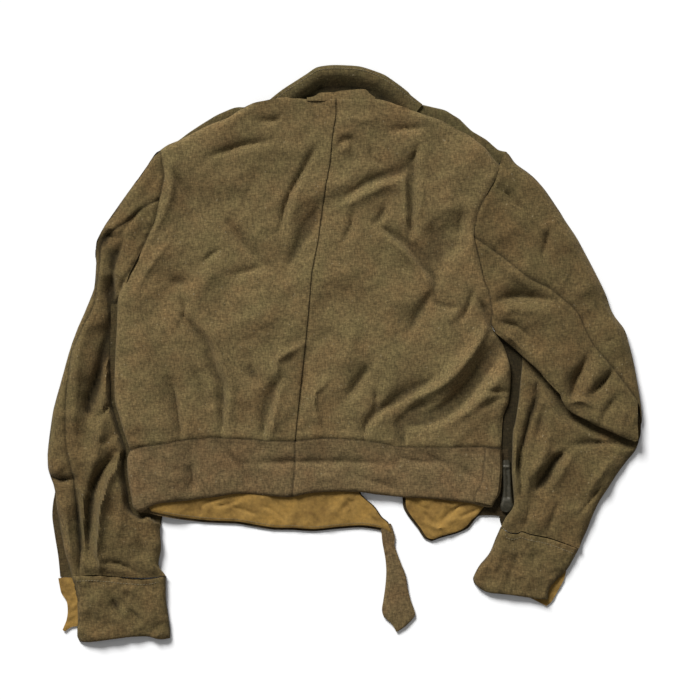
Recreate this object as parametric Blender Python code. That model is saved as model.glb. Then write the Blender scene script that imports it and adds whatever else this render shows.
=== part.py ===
"""Wool battledress jacket laid flat on its front, back side up.

Every size below is in millimetres until a mesh is made. X runs across the jacket, +X to the
right as it is seen from above. Y runs from hem to collar, Z up from the surface it lies on.
Cloth is a wall with a top side, an underside and a rim. Heights are those of the top side.
"""

from collections import namedtuple

import bpy
import numpy as np

MILLIMETRE = 0.001

# Cloth and seams
WOOL = 2.0
DRILL = 1.0
DOUBLE_WOOL = 3.0
SEAM_GAP = 0.3

# Heights of the layers that lie on each other
FRONT_TOP = WOOL
BODY_LEVEL = 9.0
BAND_LEVEL = 9.6
HEM_LEVEL = 8.4
SLEEVE_UNDER_BODY = 6.4
SLEEVE_LEAST = 5.4
LIFT_OVER_SLEEVE = SLEEVE_UNDER_BODY + 2 * SEAM_GAP
LIFT_OVER_STRAP = WOOL + 0.4
LIFT_SLOPE = 40.0
LIFT_MARGIN = 14.0
STRAP_REACH = 34.0
COLLAR_FLOOR = DOUBLE_WOOL
COLLAR_ENDS = 4.9
COLLAR_ROLL = 9.0
FRONT_SIDE_INSET = 4.0
FRONT_SHOULDER_INSET = (0.99, 0.985)
BUCKLE_TOP = 5.2
BUCKLE_PLATE = 2.4
CUFF_LINING_TOP = 1.6
TAB_GAP = 0.6
CAP_WIDTH = 5.0
CAP_LEAST = 0.1
FLOOR_GAP = 2.5

Point = namedtuple("Point", "x y")
Drop = namedtuple("Drop", "x y drop")
Fold = namedtuple("Fold", "from_x from_y to_x to_y bend width height")
Section = namedtuple("Section", "inner_x inner_y outer_x outer_y bow low high rise seam")
Strip = namedtuple("Strip", "near_x near_y far_x far_y")


def table(kind, *rows):
    """Rows of numbers with the kind's column names."""
    return [kind(*row) for row in rows]


# Outlines and seams, from the top of the jacket down or from its left to its right

SHOULDER_LEFT = table(
    Point, (-230, 255), (-205, 268), (-181, 281), (-146, 295), (-117, 311), (-96, 317)
)
NECK = table(Point, (-96, 317), (-71, 321), (-47, 319), (-11, 319), (36, 320), (67, 312), (81, 305))
SHOULDER_RIGHT = table(
    Point, (81, 305), (100, 299), (121, 293), (152, 276), (178, 255), (193, 238)
)
CENTRE_SEAM = table(
    Point, (-11, 319), (-11, 297), (-16, 270), (-22, 219), (-28, 179), (-44, 68), (-53, -20), (-62, -108)
)
ARMHOLE_LEFT = table(
    Point, (-230, 255), (-226, 225), (-231, 193), (-237, 170), (-249, 139), (-274, 94), (-279, 83)
)
SIDE_LEFT = table(Point, (-279, 83), (-283, 68), (-285, 26), (-287, -41), (-281, -79), (-268, -120))
ARMHOLE_RIGHT = table(
    Point, (193, 238), (181, 205), (170, 186), (164, 166), (162, 146), (169, 116), (180, 80), (184, 53), (188, 27)
)
SIDE_RIGHT = table(Point, (188, 27), (198, 11), (207, -20), (206, -59), (199, -77), (197, -118))
WAIST_LEFT = table(Point, (-268, -120), (-227, -112), (-162, -104), (-102, -109), (-62, -108))
WAIST_RIGHT = table(Point, (-62, -108), (-17, -105), (21, -108), (66, -115), (132, -117), (197, -118))
BAND_SEAM = table(Point, (-62, -109), (-63, -140), (-66, -178))
BAND_END_LEFT = table(Point, (-268, -120), (-271, -136), (-267, -170), (-263, -190), (-254, -198))
BAND_END_RIGHT = table(Point, (197, -118), (198, -138), (196, -157), (192, -179), (184, -191))
HEM_LEFT = table(Point, (-254, -198), (-231, -186), (-198, -183), (-141, -175), (-103, -176), (-66, -178))
HEM_RIGHT = table(Point, (-66, -178), (-11, -172), (41, -175), (102, -180), (144, -184), (184, -191))

# The two fronts below, hidden but for a strip in the right groove
FRONT_NECK_LEFT = table(Point, (-96, 315), (-72, 292), (-30, 278), (4, 274))
FRONT_NECK_RIGHT = table(Point, (12, 274), (40, 280), (68, 292), (81, 303))
FRONT_EDGE_LEFT = table(Point, (4, 274), (8, 100), (14, -108))
FRONT_EDGE_RIGHT = table(Point, (12, 274), (18, 100), (56, -110))
FRONT_WAIST_LEFT = table(Point, (-268, -120), (-162, -106), (-62, -109), (14, -108))
FRONT_WAIST_RIGHT = table(Point, (56, -110), (130, -117), (205, -119))
FRONT_SIDE_RIGHT = table(Point, (188, 27), (200, 8), (214, -22), (213, -55), (208, -84), (205, -119))

FRONT_BAND_LEFT_BOTTOM = table(
    Point, (-258, -197), (-205, -207), (-134, -212), (-64, -220), (-39, -222), (21, -217), (46, -221), (63, -228)
)
FRONT_BAND_LEFT_START = table(Point, (-268, -120), (-270, -140), (-266, -180), (-258, -197))
FRONT_BAND_LEFT_END = table(Point, (14, -108), (20, -173), (38, -191), (54, -210), (63, -228))
FRONT_BAND_RIGHT_START = table(Point, (56, -110), (71, -179), (80, -204), (99, -230), (109, -234))
FRONT_BAND_RIGHT_END = table(Point, (205, -119), (205, -160), (202, -205))
FRONT_BAND_RIGHT_BOTTOM = table(
    Point, (109, -234), (121, -230), (141, -224), (154, -218), (172, -206), (202, -205)
)
# How far the drill stops short of each front band's start, end, top and foot
LINING_MARGINS = {"left": (3.0, 1.5, 3.0, 2.5), "right": (2.5, 27.0, 3.0, 1.0)}
LINING_GAP = 0.5

COLLAR_OUTER = table(
    Point, (-96, 319), (-78, 330), (-61, 342), (-36, 357), (-13, 361), (21, 359), (52, 348), (79, 328), (97, 312)
)
COLLAR_INNER = table(Point, (-78, 309), (-52, 304), (-13, 302), (30, 302), (62, 300), (84, 294))
STAND_TOP = table(Point, (-47, 322), (-31, 327), (-13, 328), (4, 329), (26, 331), (36, 323))
COLLAR_MIDDLE = 0.0
# Height of the roll, as a share, from the collar's edge to its hidden side
COLLAR_PROFILE_AT = (0.0, 0.14, 0.3, 0.45, 0.6, 1.0)
COLLAR_PROFILE = (0.55, 0.95, 0.9, 0.35, 0.0, 0.0)
STAND_FROM = -48.0
STAND_TO = 37.0

STRAP_LEFT_OUTER = table(
    Point, (-226, 256), (-206, 268), (-184, 284), (-160, 299), (-134, 309), (-122, 308)
)
STRAP_LEFT_INNER = table(Point, (-212, 232), (-184, 248), (-150, 268), (-124, 280))
STRAP_RIGHT_OUTER = table(
    Point, (97, 311), (125, 305), (144, 294), (158, 280), (178, 268), (192, 256), (198, 251)
)
STRAP_RIGHT_INNER = table(Point, (90, 282), (118, 274), (146, 256), (164, 240), (176, 226))

BELT_LEFT = table(Point, (47, -222), (48, -240), (51, -256), (52, -272), (49, -308), (47, -320), (65, -347))
BELT_RIGHT = table(Point, (61, -228.2), (63, -242), (69, -258), (76, -276), (83, -308), (88, -324), (66, -347))
TAB_EDGE = table(Point, (177, -121), (174, -135), (171, -161), (164, -176), (162, -183))
TAB_TOP = table(Point, (177, -121), (195, -122))
TAB_END = table(Point, (195, -122), (195, -138), (193, -157), (189, -177), (183, -188))
TAB_FOOT = table(Point, (162, -183), (183, -188))

# Sleeves, armhole to cuff. Each section runs from the sleeve's inner fold to its outer one:
# bow is how far its middle lies from a straight line, low and high the heights of the inner
# and outer part, rise where between them it climbs, and seam where the hind-arm seam is.
SLEEVE_LEFT = table(
    Section,
    (-279, 83, -230, 255, 0, 12.0, 9.0, 0.50, 0.64),
    (-284, 80, -259, 218, 8, 10.0, 12.0, 0.45, 0.73),
    (-289, 77, -288, 179, 5, 9.0, 13.0, 0.45, 0.79),
    (-294, 71, -311, 139, 0, 8.0, 13.0, 0.50, 0.86),
    (-297, 62, -312, 104, 0, 7.5, 12.0, 0.50, 0.78),
    (-296, 50, -317, 76, 0, 7.0, 11.0, 0.50, 0.74),
    (-289, 36, -325, 52, 0, 6.4, 11.0, 0.55, 0.78),
    (-274, 18, -333, 30, 0, 6.4, 12.0, 0.60, 0.86),
    (-256, -2, -340, 10, 0, 6.4, 12.0, 0.62, 0.90),
    (-240, -20, -347, -12, 0, 6.4, 12.0, 0.66, 0.94),
    (-229, -44, -353, -36, 0, 6.4, 13.0, 0.66, 0.93),
    (-220, -72, -360, -62, 0, 6.4, 13.0, 0.66, 0.91),
    (-216, -100, -368, -92, 0, 6.4, 13.0, 0.66, 0.88),
    (-216, -126, -371, -118, 0, 6.4, 13.0, 0.66, 0.85),
    (-218, -150, -370, -148, 0, 6.4, 13.0, 0.60, 0.82),
    (-222, -178, -363, -172, 0, 6.4, 12.0, 0.55, 0.80),
    (-228, -206, -363, -200, 0, 6.4, 11.0, 0.45, 0.78),
    (-229, -232, -360, -232, 0, 8.0, 10.0, 0.35, 0.78),
    (-231, -256, -357, -256, 0, 8.0, 9.0, 0.35, 0.79),
    (-225, -276, -354, -276, 0, 8.0, 8.0, 0.35, 0.82),
)
SLEEVE_RIGHT = table(
    Section,
    (188, 27, 193, 238, 0, 9.0, 9.0, 0.50, 0.54),
    (202, 18, 222, 232, -14, 10.0, 13.0, 0.35, 0.60),
    (212, 9, 270, 178, -6, 11.0, 15.0, 0.30, 0.63),
    (217, 1, 302, 124, 0, 11.5, 16.0, 0.30, 0.66),
    (220, -1, 334, 62, 0, 11.5, 17.0, 0.30, 0.72),
    (222, -3, 356, 10, 0, 11.0, 17.0, 0.30, 0.82),
    (222, -5, 367, -42, 4, 10.5, 17.0, 0.30, 0.90),
    (222, -8, 370, -84, 10, 10.0, 17.0, 0.30, 0.94),
    (222, -12, 368, -106, 16, 9.5, 16.0, 0.30, 0.95),
    (221, -20, 366, -113, 17, 8.0, 9.0, 0.30, 0.95),
    (220, -38, 361, -128, 14, 8.0, 11.0, 0.30, 0.93),
    (217, -60, 349, -142, 8, 8.0, 12.0, 0.30, 0.92),
    (214, -90, 334, -158, 4, 8.0, 12.0, 0.30, 0.92),
    (210, -125, 322, -178, 0, 8.0, 11.0, 0.30, 0.92),
    (212, -160, 312, -200, 0, 8.0, 10.0, 0.30, 0.90),
    (209, -190, 302, -222, 0, 8.0, 9.0, 0.30, 0.86),
    (197, -215, 293, -242, 0, 8.0, 8.0, 0.30, 0.84),
)
CUFF_LEFT = table(
    Section,
    (-224.5, -276.8, -341, -276.8, -3, 8, 8, 0.5, 0.5),
    (-225, -300, -335, -298, 0, 8, 8, 0.5, 0.5),
    (-221, -330, -334, -332, 0, 8, 8, 0.5, 0.5),
    (-219, -356, -332, -359, -2, 8, 8, 0.5, 0.5),
)
CUFF_RIGHT = table(
    Section,
    (196.8, -215.6, 292.8, -242.6, 0, 8, 8, 0.5, 0.5),
    (188, -232, 285, -258, 0, 8, 8, 0.5, 0.5),
    (176, -254, 276, -272, 0, 8, 8, 0.5, 0.5),
    (168, -270, 263, -286, 0, 8, 8, 0.5, 0.5),
    (162, -286, 254, -303, 4, 8, 8, 0.5, 0.5),
)

# The tan drill that shows beside each cuff, from its edge at the cuff to its free edge
CUFF_LINING_LEFT = table(
    Strip,
    (-339.8, -281, -356, -281),
    (-334.8, -298, -352, -298),
    (-333.9, -318, -346.5, -318),
    (-332.9, -342, -353, -345),
)
CUFF_LINING_RIGHT = table(
    Strip,
    (276.3, -272.4, 279, -273.4),
    (263.5, -286.1, 271, -288),
    (254.5, -302.7, 261, -307),
    (245, -306.7, 253, -315),
)
BUCKLE = table(
    Strip,
    (201.0, -133, 207.0, -133),
    (199.0, -136, 209.0, -136),
    (199.0, -150, 210.0, -150),
    (199.5, -170, 210.5, -170),
    (200.0, -186, 209.0, -186),
    (197.0, -194, 205.5, -194),
    (198.0, -198, 202.5, -198),
)

# How far the top side comes down at an edge or seam, and over what width
SIDE_DROPS = (
    table(Drop, (-279, 83, 3.0), (-285, 26, 4.4), (-281, -79, 4.4), (-268, -120, 3.0), (-271, -136, 3.4), (-254, -198, 2.6)),
    table(Drop, (188, 27, 3.0), (207, -20, 4.4), (199, -77, 4.4), (197, -118, 2.6), (196, -157, 1.6), (184, -191, 1.0)),
    table(Drop, (-230, 255, 2.0), (-205, 268, 3.8), (-146, 295, 3.4), (-117, 311, 0.6), (-96, 317, 0.0)),
    table(Drop, (81, 305, 0.0), (100, 299, 0.6), (121, 293, 3.4), (178, 255, 3.8), (193, 238, 2.0)),
)
SIDE_DROP_WIDTH = 15.0
SEAM_DROPS = (
    table(Drop, *((p.x, p.y, 1.2) for p in ARMHOLE_LEFT)),
    table(Drop, *((p.x, p.y, 1.2) for p in ARMHOLE_RIGHT)),
    table(Drop, *((p.x, p.y, 0.8) for p in WAIST_LEFT + WAIST_RIGHT[1:])),
)
SEAM_DROP_WIDTH = 9.0

# The largest folds of the back, with a height above zero for a ridge and below for a trough
BACK_FOLDS = table(
    Fold,
    (-168, 246, -92, 267, 6, 9, -2.2),
    (-109, 291, -74, 297, 0, 9, -1.6),
    (-80, 314, 76, 310, -4, 20, 4.0),
    (-36, 260, -81, 155, 7, 9, -2.6),
    (-31, 186, -72, 107, 4, 9, -2.6),
    (-3, 191, 71, 228, -5, 10, -3.0),
    (93, 255, 84, 148, -5, 10, -3.2),
    (44, 159, 116, 78, 16, 9, -3.0),
    (56, 232, 101, 281, 0, 16, 1.6),
    (97, 130, 124, 30, 0, 16, 1.6),
    (108, 78, 84, 33, 0, 9, -1.8),
    (190, 11, 118, -70, 14, 13, -4.6),
    (118, -70, 78, -92, -6, 9, -3.0),
    (166, 70, 60, -60, 20, 15, 3.4),
    (-149, 171, -98, 107, -4, 9, -1.8),
    (-200, 232, -172, 188, 0, 9, -1.6),
    (-197, 44, -155, -70, 10, 10, -3.2),
    (-182, 60, -130, -40, 8, 15, 2.6),
    (-211, -58, -202, -125, 0, 9, -2.2),
    (-155, -30, -150, -125, 0, 9, -2.2),
    (-88, -37, -102, -125, 0, 9, -2.8),
    (162, 2, 28, -118, -10, 10, -2.6),
    (80, -87, 72, -130, 0, 9, -2.2),
    (-30, -37, -38, -90, 0, 9, -2.0),
    (-60, 55, -8, -50, 12, 22, 2.2),
    (-110, 60, -70, -20, 0, 20, 1.8),
    (10, 90, 60, 10, 0, 24, 2.0),
    (-248, 60, -240, -60, 0, 20, 1.6),
)
BAND_FOLDS = table(
    Fold,
    (-154, -113, -122, -158, 0, 9, -2.0),
    (-192, -132, -188, -176, 0, 9, -1.8),
    (-130, -137, 66, -136, 3, 8, -1.2),
)
SLEEVE_FOLDS = table(
    Fold,
    (-293, 141, -288, 70, 3, 9, -3.6),
    (-313, -156, -367, -158, -4, 9, -2.4),
    (-275, -134, -308, -276, 14, 12, 2.4),
    (-340, -153, -331, -276, 4, 9, -2.4),
    (255, 154, 248, 120, 0, 9, -2.4),
    (188, 66, 263, 66, 9, 9, -2.6),
    (304, -2, 284, -57, 6, 12, -3.4),
    (336, -18, 311, -48, 0, 9, -2.6),
    (276, -61, 308, -61, 0, 10, 1.8),
    (241, -26, 217, -168, 6, 9, -3.0),
    (272, -126, 242, -166, 6, 10, -3.8),
    (286, -112, 360, -110, 0, 12, 1.6),
    (325, 60, 352, 10, 0, 16, 1.6),
)
CUFF_FOLDS = table(
    Fold,
    (-292, -300, -276, -335, 0, 9, -1.4),
    (-272, -315, -250, -334, 0, 9, -1.2),
)
FRONT_BAND_FOLDS = table(
    Fold,
    (-180, -184, -150, -193, 0, 8, 1.0),
    (-140, -195, -110, -194, 0, 8, 1.0),
    (91, -195, 113, -214, 0, 8, 1.0),
    (150, -188, 120, -212, 0, 8, 1.0),
)

# Linear colour, roughness and metallic value of each finish
WOOL_FINISH = ((0.135, 0.101, 0.048, 1.0), 0.95, 0.0)
WOOL_UNDER_FINISH = ((0.118, 0.088, 0.042, 1.0), 0.95, 0.0)
DRILL_FINISH = ((0.34, 0.20, 0.055, 1.0), 0.85, 0.0)
BUCKLE_FINISH = ((0.034, 0.036, 0.026, 1.0), 0.5, 0.6)

# Points along and across each piece
BODY_COLUMNS = 16
BODY_ROWS = 24
NECK_COLUMNS = 5
ARMHOLE_POINTS = 12
FRONT_ROWS = 13
BAND_ROWS = 5
BAND_COLUMNS = 16
FRONT_COLUMNS = {"left": 16, "right": 10}
SLEEVE_STEPS = 2
CAP_POINTS = 3
CORNER_POWER = 8


def blend(value, start, end):
    """0 at start, 1 at end, with a smooth step between."""
    t = np.clip((value - start) / (end - start), 0, 1)
    return t * t * (3 - 2 * t)


def steady_slopes(values):
    """Slopes for a curve through the values that never swings past one of them."""
    step = np.diff(values, axis=0)
    slopes = np.zeros_like(values)
    before, after = step[:-1], step[1:]
    same_way = before * after > 0
    total = np.where(same_way, before + after, 1)
    slopes[1:-1] = np.where(same_way, 2 * before * after / total, 0)
    slopes[0] = step[0]
    slopes[-1] = step[-1]
    return slopes


def between(values, slopes, at):
    """Cubic curve through the values, read at fractional positions."""
    first = np.clip(np.floor(at).astype(int), 0, len(values) - 2)
    shape = (len(at),) + (1,) * (values.ndim - 1)
    t = (at - first).reshape(shape)
    a, b = values[first], values[first + 1]
    m, n = slopes[first], slopes[first + 1]
    return (
        (2 * t**3 - 3 * t**2 + 1) * a
        + (t**3 - 2 * t**2 + t) * m
        + (3 * t**2 - 2 * t**3) * b
        + (t**3 - t**2) * n
    )


def curve(rows, count):
    """That many points, evenly spaced along a smooth curve through the rows' points."""
    points = np.array([row[:2] for row in rows], float)
    slopes = np.gradient(points, axis=0) if len(points) > 2 else np.diff(points, axis=0).repeat(2, 0)
    reach = np.linalg.norm(np.diff(points, axis=0), axis=1)
    limit = np.minimum(np.append(reach, reach[-1]), np.insert(reach, 0, reach[0]))
    size = np.linalg.norm(slopes, axis=1)
    slopes *= np.minimum(1, limit / np.maximum(size, 1e-9))[:, None]
    fine = between(points, slopes, np.linspace(0, len(points) - 1, 12 * len(points)))
    length = np.append(0, np.cumsum(np.linalg.norm(np.diff(fine, axis=0), axis=1)))
    at = np.linspace(0, length[-1], count)
    return np.stack([np.interp(at, length, fine[:, k]) for k in range(2)], axis=1)


def shifted(points, side):
    """The curve moved sideways, to its left where side is above zero."""
    along = np.gradient(points, axis=0)
    along /= np.linalg.norm(along, axis=1, keepdims=True)
    return points + side * np.stack([-along[:, 1], along[:, 0]], axis=1)


def meet(side, start, end):
    """The side curve with its ends drawn to these corners, close to them only."""
    near = np.linspace(1, 0, len(side))[:, None] ** CORNER_POWER
    return side + near * (start - side[0]) + near[::-1] * (end - side[-1])


def patch(top, bottom, left, right):
    """Grid of points inside four curves: top and bottom run to the right, the others down."""
    left = meet(left, top[0], bottom[0])
    right = meet(right, top[-1], bottom[-1])
    u = np.linspace(0, 1, len(top))[None, :, None]
    v = np.linspace(0, 1, len(left))[:, None, None]
    across = (1 - u) * left[:, None] + u * right[:, None]
    down = (1 - v) * top[None] + v * bottom[None]
    corners = (1 - v) * ((1 - u) * top[0] + u * top[-1]) + v * ((1 - u) * bottom[0] + u * bottom[-1])
    return across + down - corners


def trimmed(grid, start=0.0, end=0.0, top=0.0, foot=0.0):
    """The grid with its border points moved in by these lengths."""
    grid = grid.copy()
    for border, next_to, length in (
        ((slice(None), 0), (slice(None), 1), start),
        ((slice(None), -1), (slice(None), -2), end),
        ((0, slice(None)), (1, slice(None)), top),
        ((-1, slice(None)), (-2, slice(None)), foot),
    ):
        way = grid[next_to] - grid[border]
        grid[border] += length * way / np.linalg.norm(way, axis=-1, keepdims=True)
    return grid


def nearest(line, points):
    """Distance from each point to a line of points, the fraction along it and the side."""
    flat = points.reshape(-1, 1, 2)
    start, step = line[:-1], np.diff(line, axis=0)
    t = ((flat - start) * step).sum(-1) / (step**2).sum(-1)
    t = np.clip(t, 0, 1)
    away = flat - (start + t[..., None] * step)
    distance = np.linalg.norm(away, axis=-1)
    best = distance.argmin(axis=1)
    pick = np.arange(len(best)), best
    side = np.sign(step[best, 0] * away[pick][:, 1] - step[best, 1] * away[pick][:, 0])
    along = (best + t[pick]) / len(step)
    shape = points.shape[:-1]
    return distance[pick].reshape(shape), along.reshape(shape), side.reshape(shape)


def fold_line(fold, count=12):
    """Points along a fold that bends sideways in its middle."""
    t = np.linspace(0, 1, count)[:, None]
    start = np.array([fold.from_x, fold.from_y], float)
    end = np.array([fold.to_x, fold.to_y], float)
    way = (end - start) / np.linalg.norm(end - start)
    return start + t * (end - start) + 4 * fold.bend * t * (1 - t) * np.array([-way[1], way[0]])


def folds_height(folds, points):
    """Height that the folds add or take at each point, fading out at each fold's ends."""
    total = np.zeros(points.shape[:-1])
    for fold in folds:
        distance, along, _ = nearest(fold_line(fold), points)
        fade = np.sqrt(np.clip(np.sin(np.pi * np.clip(along, 0.04, 0.96)), 0, 1))
        total += fold.height * fade * np.exp(-((distance / fold.width) ** 2))
    return total


def drops_height(lines, width, points):
    """How far the cloth comes down near these edges or seams."""
    total = np.zeros(points.shape[:-1])
    for rows in lines:
        line = curve(rows, 24)
        distance, _, _ = nearest(line, points)
        index = np.array([[row.x, row.y] for row in rows], float)
        _, at, _ = nearest(index, points)
        drop = np.interp(at * (len(rows) - 1), range(len(rows)), [row.drop for row in rows])
        total = np.maximum(total, drop * (1 - np.sin(0.5 * np.pi * np.clip(distance / width, 0, 1))))
    return total


def lift(points):
    """Height of the fronts' underside: they lie on the left sleeve and on both straps."""
    inner = np.array([[row.inner_x, row.inner_y] for row in SLEEVE_LEFT], float)
    distance, _, side = nearest(inner, points)
    inside = np.where(side < 0, 0, distance)
    over_sleeve = LIFT_OVER_SLEEVE * (1 - blend(inside, LIFT_MARGIN, LIFT_MARGIN + LIFT_SLOPE))
    below_armhole = blend(points[..., 1], 110, 84)
    over_strap = np.zeros(points.shape[:-1])
    for rows in (SHOULDER_LEFT, SHOULDER_RIGHT):
        distance, _, _ = nearest(curve(rows, 24), points)
        strap = LIFT_OVER_STRAP * (1 - blend(distance, STRAP_REACH, STRAP_REACH + LIFT_SLOPE))
        over_strap = np.maximum(over_strap, strap)
    return np.maximum(over_sleeve * below_armhole, over_strap)


def body_height(points):
    """Top side of the back."""
    return (
        BODY_LEVEL
        + lift(points)
        + folds_height(BACK_FOLDS, points)
        - drops_height(SIDE_DROPS, SIDE_DROP_WIDTH, points)
        - drops_height(SEAM_DROPS, SEAM_DROP_WIDTH, points)
    )


def band_height(points):
    """Top side of the back waistband, which sinks to the hem."""
    hem, _, _ = nearest(curve(HEM_LEFT + HEM_RIGHT[1:], 40), points)
    return (
        HEM_LEVEL
        + (BAND_LEVEL - HEM_LEVEL) * blend(hem, 0, 14)
        + lift(points)
        + folds_height(BAND_FOLDS, points)
        - 0.6 * drops_height(SIDE_DROPS, SIDE_DROP_WIDTH, points)
        - drops_height(SEAM_DROPS, SEAM_DROP_WIDTH, points)
    )


def with_height(points, height):
    """The plan points with their heights."""
    return np.concatenate([points, np.broadcast_to(height, points.shape[:-1])[..., None]], axis=-1)


def under_side(outer, thickness):
    """The grid moved in by the cloth's thickness, square to it but upright at its borders."""
    normals = np.cross(np.gradient(outer, axis=0), np.gradient(outer, axis=1))
    for border in ((0, slice(None)), (-1, slice(None)), (slice(None), 0), (slice(None), -1)):
        along = np.gradient(outer[border][:, :2], axis=0)
        along /= np.linalg.norm(along, axis=1, keepdims=True)
        across = np.stack([-along[:, 1], along[:, 0], 0 * along[:, 0]], axis=1)
        normals[border] -= (normals[border] * across).sum(-1, keepdims=True) * across
    return outer - thickness * normals / np.linalg.norm(normals, axis=-1, keepdims=True)


def make(name, vertices, faces, finish):
    """A named mesh object with its own material, from points in millimetres."""
    colour, roughness, metallic = finish
    mesh = bpy.data.meshes.new(name)
    mesh.from_pydata((vertices * MILLIMETRE).tolist(), [], faces)
    mesh.validate()
    mesh.shade_smooth()
    mesh.set_sharp_from_angle(angle=0.9)
    material = bpy.data.materials.new(name)
    material.use_nodes = True
    shader = material.node_tree.nodes["Principled BSDF"]
    shader.inputs["Base Color"].default_value = colour
    shader.inputs["Roughness"].default_value = roughness
    shader.inputs["Metallic"].default_value = metallic
    material.diffuse_color = colour
    mesh.materials.append(material)
    thing = bpy.data.objects.new(name, mesh)
    bpy.context.scene.collection.objects.link(thing)
    return thing


def wall(name, outer, inner, finish, closed=False):
    """Cloth between a grid of outer points and its inner grid, with a rim."""
    rows, columns = outer.shape[:2]
    vertices = np.concatenate([outer.reshape(-1, 3), inner.reshape(-1, 3)])
    below = rows * columns
    faces = []
    spans = columns if closed else columns - 1
    for r in range(rows - 1):
        for c in range(spans):
            a = r * columns + c
            b = r * columns + (c + 1) % columns
            faces.append((a, a + columns, b + columns, b))
            faces.append((below + a, below + b, below + b + columns, below + a + columns))
    for c in range(spans):
        a, b = c, (c + 1) % columns
        faces.append((a, b, below + b, below + a))
        a, b = a + below - columns, b + below - columns
        faces.append((a, below + a, below + b, b))
    if not closed:
        for r in range(rows - 1):
            a = r * columns
            faces.append((a, below + a, below + a + columns, a + columns))
            a += columns - 1
            faces.append((a, a + columns, below + a + columns, below + a))
    return make(name, vertices, faces, finish)


def sheet(name, points, height, thickness, finish):
    """Cloth of one thickness that lies as a sheet with its top side at this height."""
    outer = with_height(points, height)
    return wall(name, outer, under_side(outer, thickness), finish)


def slab(name, points, height, foot, finish):
    """Cloth that lies as a sheet, with its underside at the foot straight below its top."""
    return wall(name, with_height(points, height), with_height(points, foot), finish)


def add_back():
    """Both halves of the back, each trimmed at its seams by half the seam gap."""
    half = SEAM_GAP / 2
    centre = curve(CENTRE_SEAM, BODY_ROWS)
    top_left = np.concatenate([
        curve(SHOULDER_LEFT, BODY_COLUMNS - NECK_COLUMNS),
        curve([p for p in NECK if p.x <= CENTRE_SEAM[0].x], NECK_COLUMNS + 1)[1:],
    ])
    top_right = np.concatenate([
        curve([p for p in NECK if p.x >= CENTRE_SEAM[0].x], NECK_COLUMNS + 3)[:-1],
        curve(SHOULDER_RIGHT, BODY_COLUMNS - NECK_COLUMNS - 2),
    ])
    side_left = np.concatenate([
        curve(ARMHOLE_LEFT, ARMHOLE_POINTS)[:-1],
        curve(SIDE_LEFT, BODY_ROWS - ARMHOLE_POINTS + 1),
    ])
    side_right = np.concatenate([
        curve(ARMHOLE_RIGHT, ARMHOLE_POINTS)[:-1],
        curve(SIDE_RIGHT, BODY_ROWS - ARMHOLE_POINTS + 1),
    ])
    left = patch(top_left, curve(WAIST_LEFT, BODY_COLUMNS), side_left, centre)
    left = trimmed(left, start=half, end=half, foot=half)
    right = patch(top_right, curve(WAIST_RIGHT, BODY_COLUMNS), centre, side_right)
    right = trimmed(right, start=half, end=half, foot=half)
    sheet("back_left", left, body_height(left), WOOL, WOOL_FINISH)
    sheet("back_right", right, body_height(right), WOOL, WOOL_FINISH)


def add_fronts():
    """The hidden fronts, plain and flat, lying on the sleeve and the straps."""
    half = SEAM_GAP / 2
    columns = FRONT_COLUMNS["left"]
    left = patch(
        np.concatenate([
            curve(SHOULDER_LEFT, 8)[:-1] * FRONT_SHOULDER_INSET,
            curve(FRONT_NECK_LEFT, columns - 7),
        ]),
        curve(FRONT_WAIST_LEFT, columns),
        np.concatenate([curve(ARMHOLE_LEFT, 6)[:-1], curve(SIDE_LEFT, FRONT_ROWS - 5)]),
        curve(FRONT_EDGE_LEFT, FRONT_ROWS),
    )
    left = trimmed(left, start=FRONT_SIDE_INSET, foot=half)
    columns = FRONT_COLUMNS["right"]
    right = patch(
        np.concatenate([
            curve(FRONT_NECK_RIGHT, columns - 4),
            curve(SHOULDER_RIGHT, 5)[1:] * FRONT_SHOULDER_INSET,
        ]),
        curve(FRONT_WAIST_RIGHT, columns),
        curve(FRONT_EDGE_RIGHT, FRONT_ROWS),
        np.concatenate([curve(ARMHOLE_RIGHT, 7)[:-1], curve(FRONT_SIDE_RIGHT, FRONT_ROWS - 6)]),
    )
    right = trimmed(right, end=FRONT_SIDE_INSET, foot=half)
    for name, points in (("front_left", left), ("front_right", right)):
        rise = lift(points)
        slab(name, points, rise + FRONT_TOP, rise, WOOL_UNDER_FINISH)


def add_back_band():
    """The back waistband in two halves."""
    half = SEAM_GAP / 2
    seam = curve(BAND_SEAM, BAND_ROWS)
    waist_left, waist_right = curve(WAIST_LEFT, BAND_COLUMNS), curve(WAIST_RIGHT, BAND_COLUMNS)
    left = patch(waist_left, curve(HEM_LEFT, BAND_COLUMNS), curve(BAND_END_LEFT, BAND_ROWS), seam)
    left = trimmed(left, end=half, top=half)
    right = patch(waist_right, curve(HEM_RIGHT, BAND_COLUMNS), seam, curve(BAND_END_RIGHT, BAND_ROWS))
    right = trimmed(right, start=half, top=half)
    for name, points in (("waistband_back_left", left), ("waistband_back_right", right)):
        sheet(name, points, band_height(points), WOOL, WOOL_FINISH)


def section_grids(sections, columns, armhole, cap_width):
    """Plan points and heights of each section between its two end caps."""
    f = np.linspace(0, 1, columns)
    plan, heights = [], []
    for section in sections:
        inner = np.array([section.inner_x, section.inner_y], float)
        outer = np.array([section.outer_x, section.outer_y], float)
        width = np.linalg.norm(outer - inner)
        way = (outer - inner) / width
        cap = cap_width / width
        at = (cap + f * (1 - 2 * cap))[:, None]
        side = np.array([way[1], -way[0]])
        plan.append(inner + at * (outer - inner) + section.bow * np.sin(np.pi * at) * side)
        climb = blend(f, section.rise - 0.22, section.rise + 0.22)
        heights.append(section.low + (section.high - section.low) * climb)
    if armhole is not None:
        plan[0] = armhole
        heights[0] = body_height(armhole)
    return np.array(plan), np.array(heights)


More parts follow.
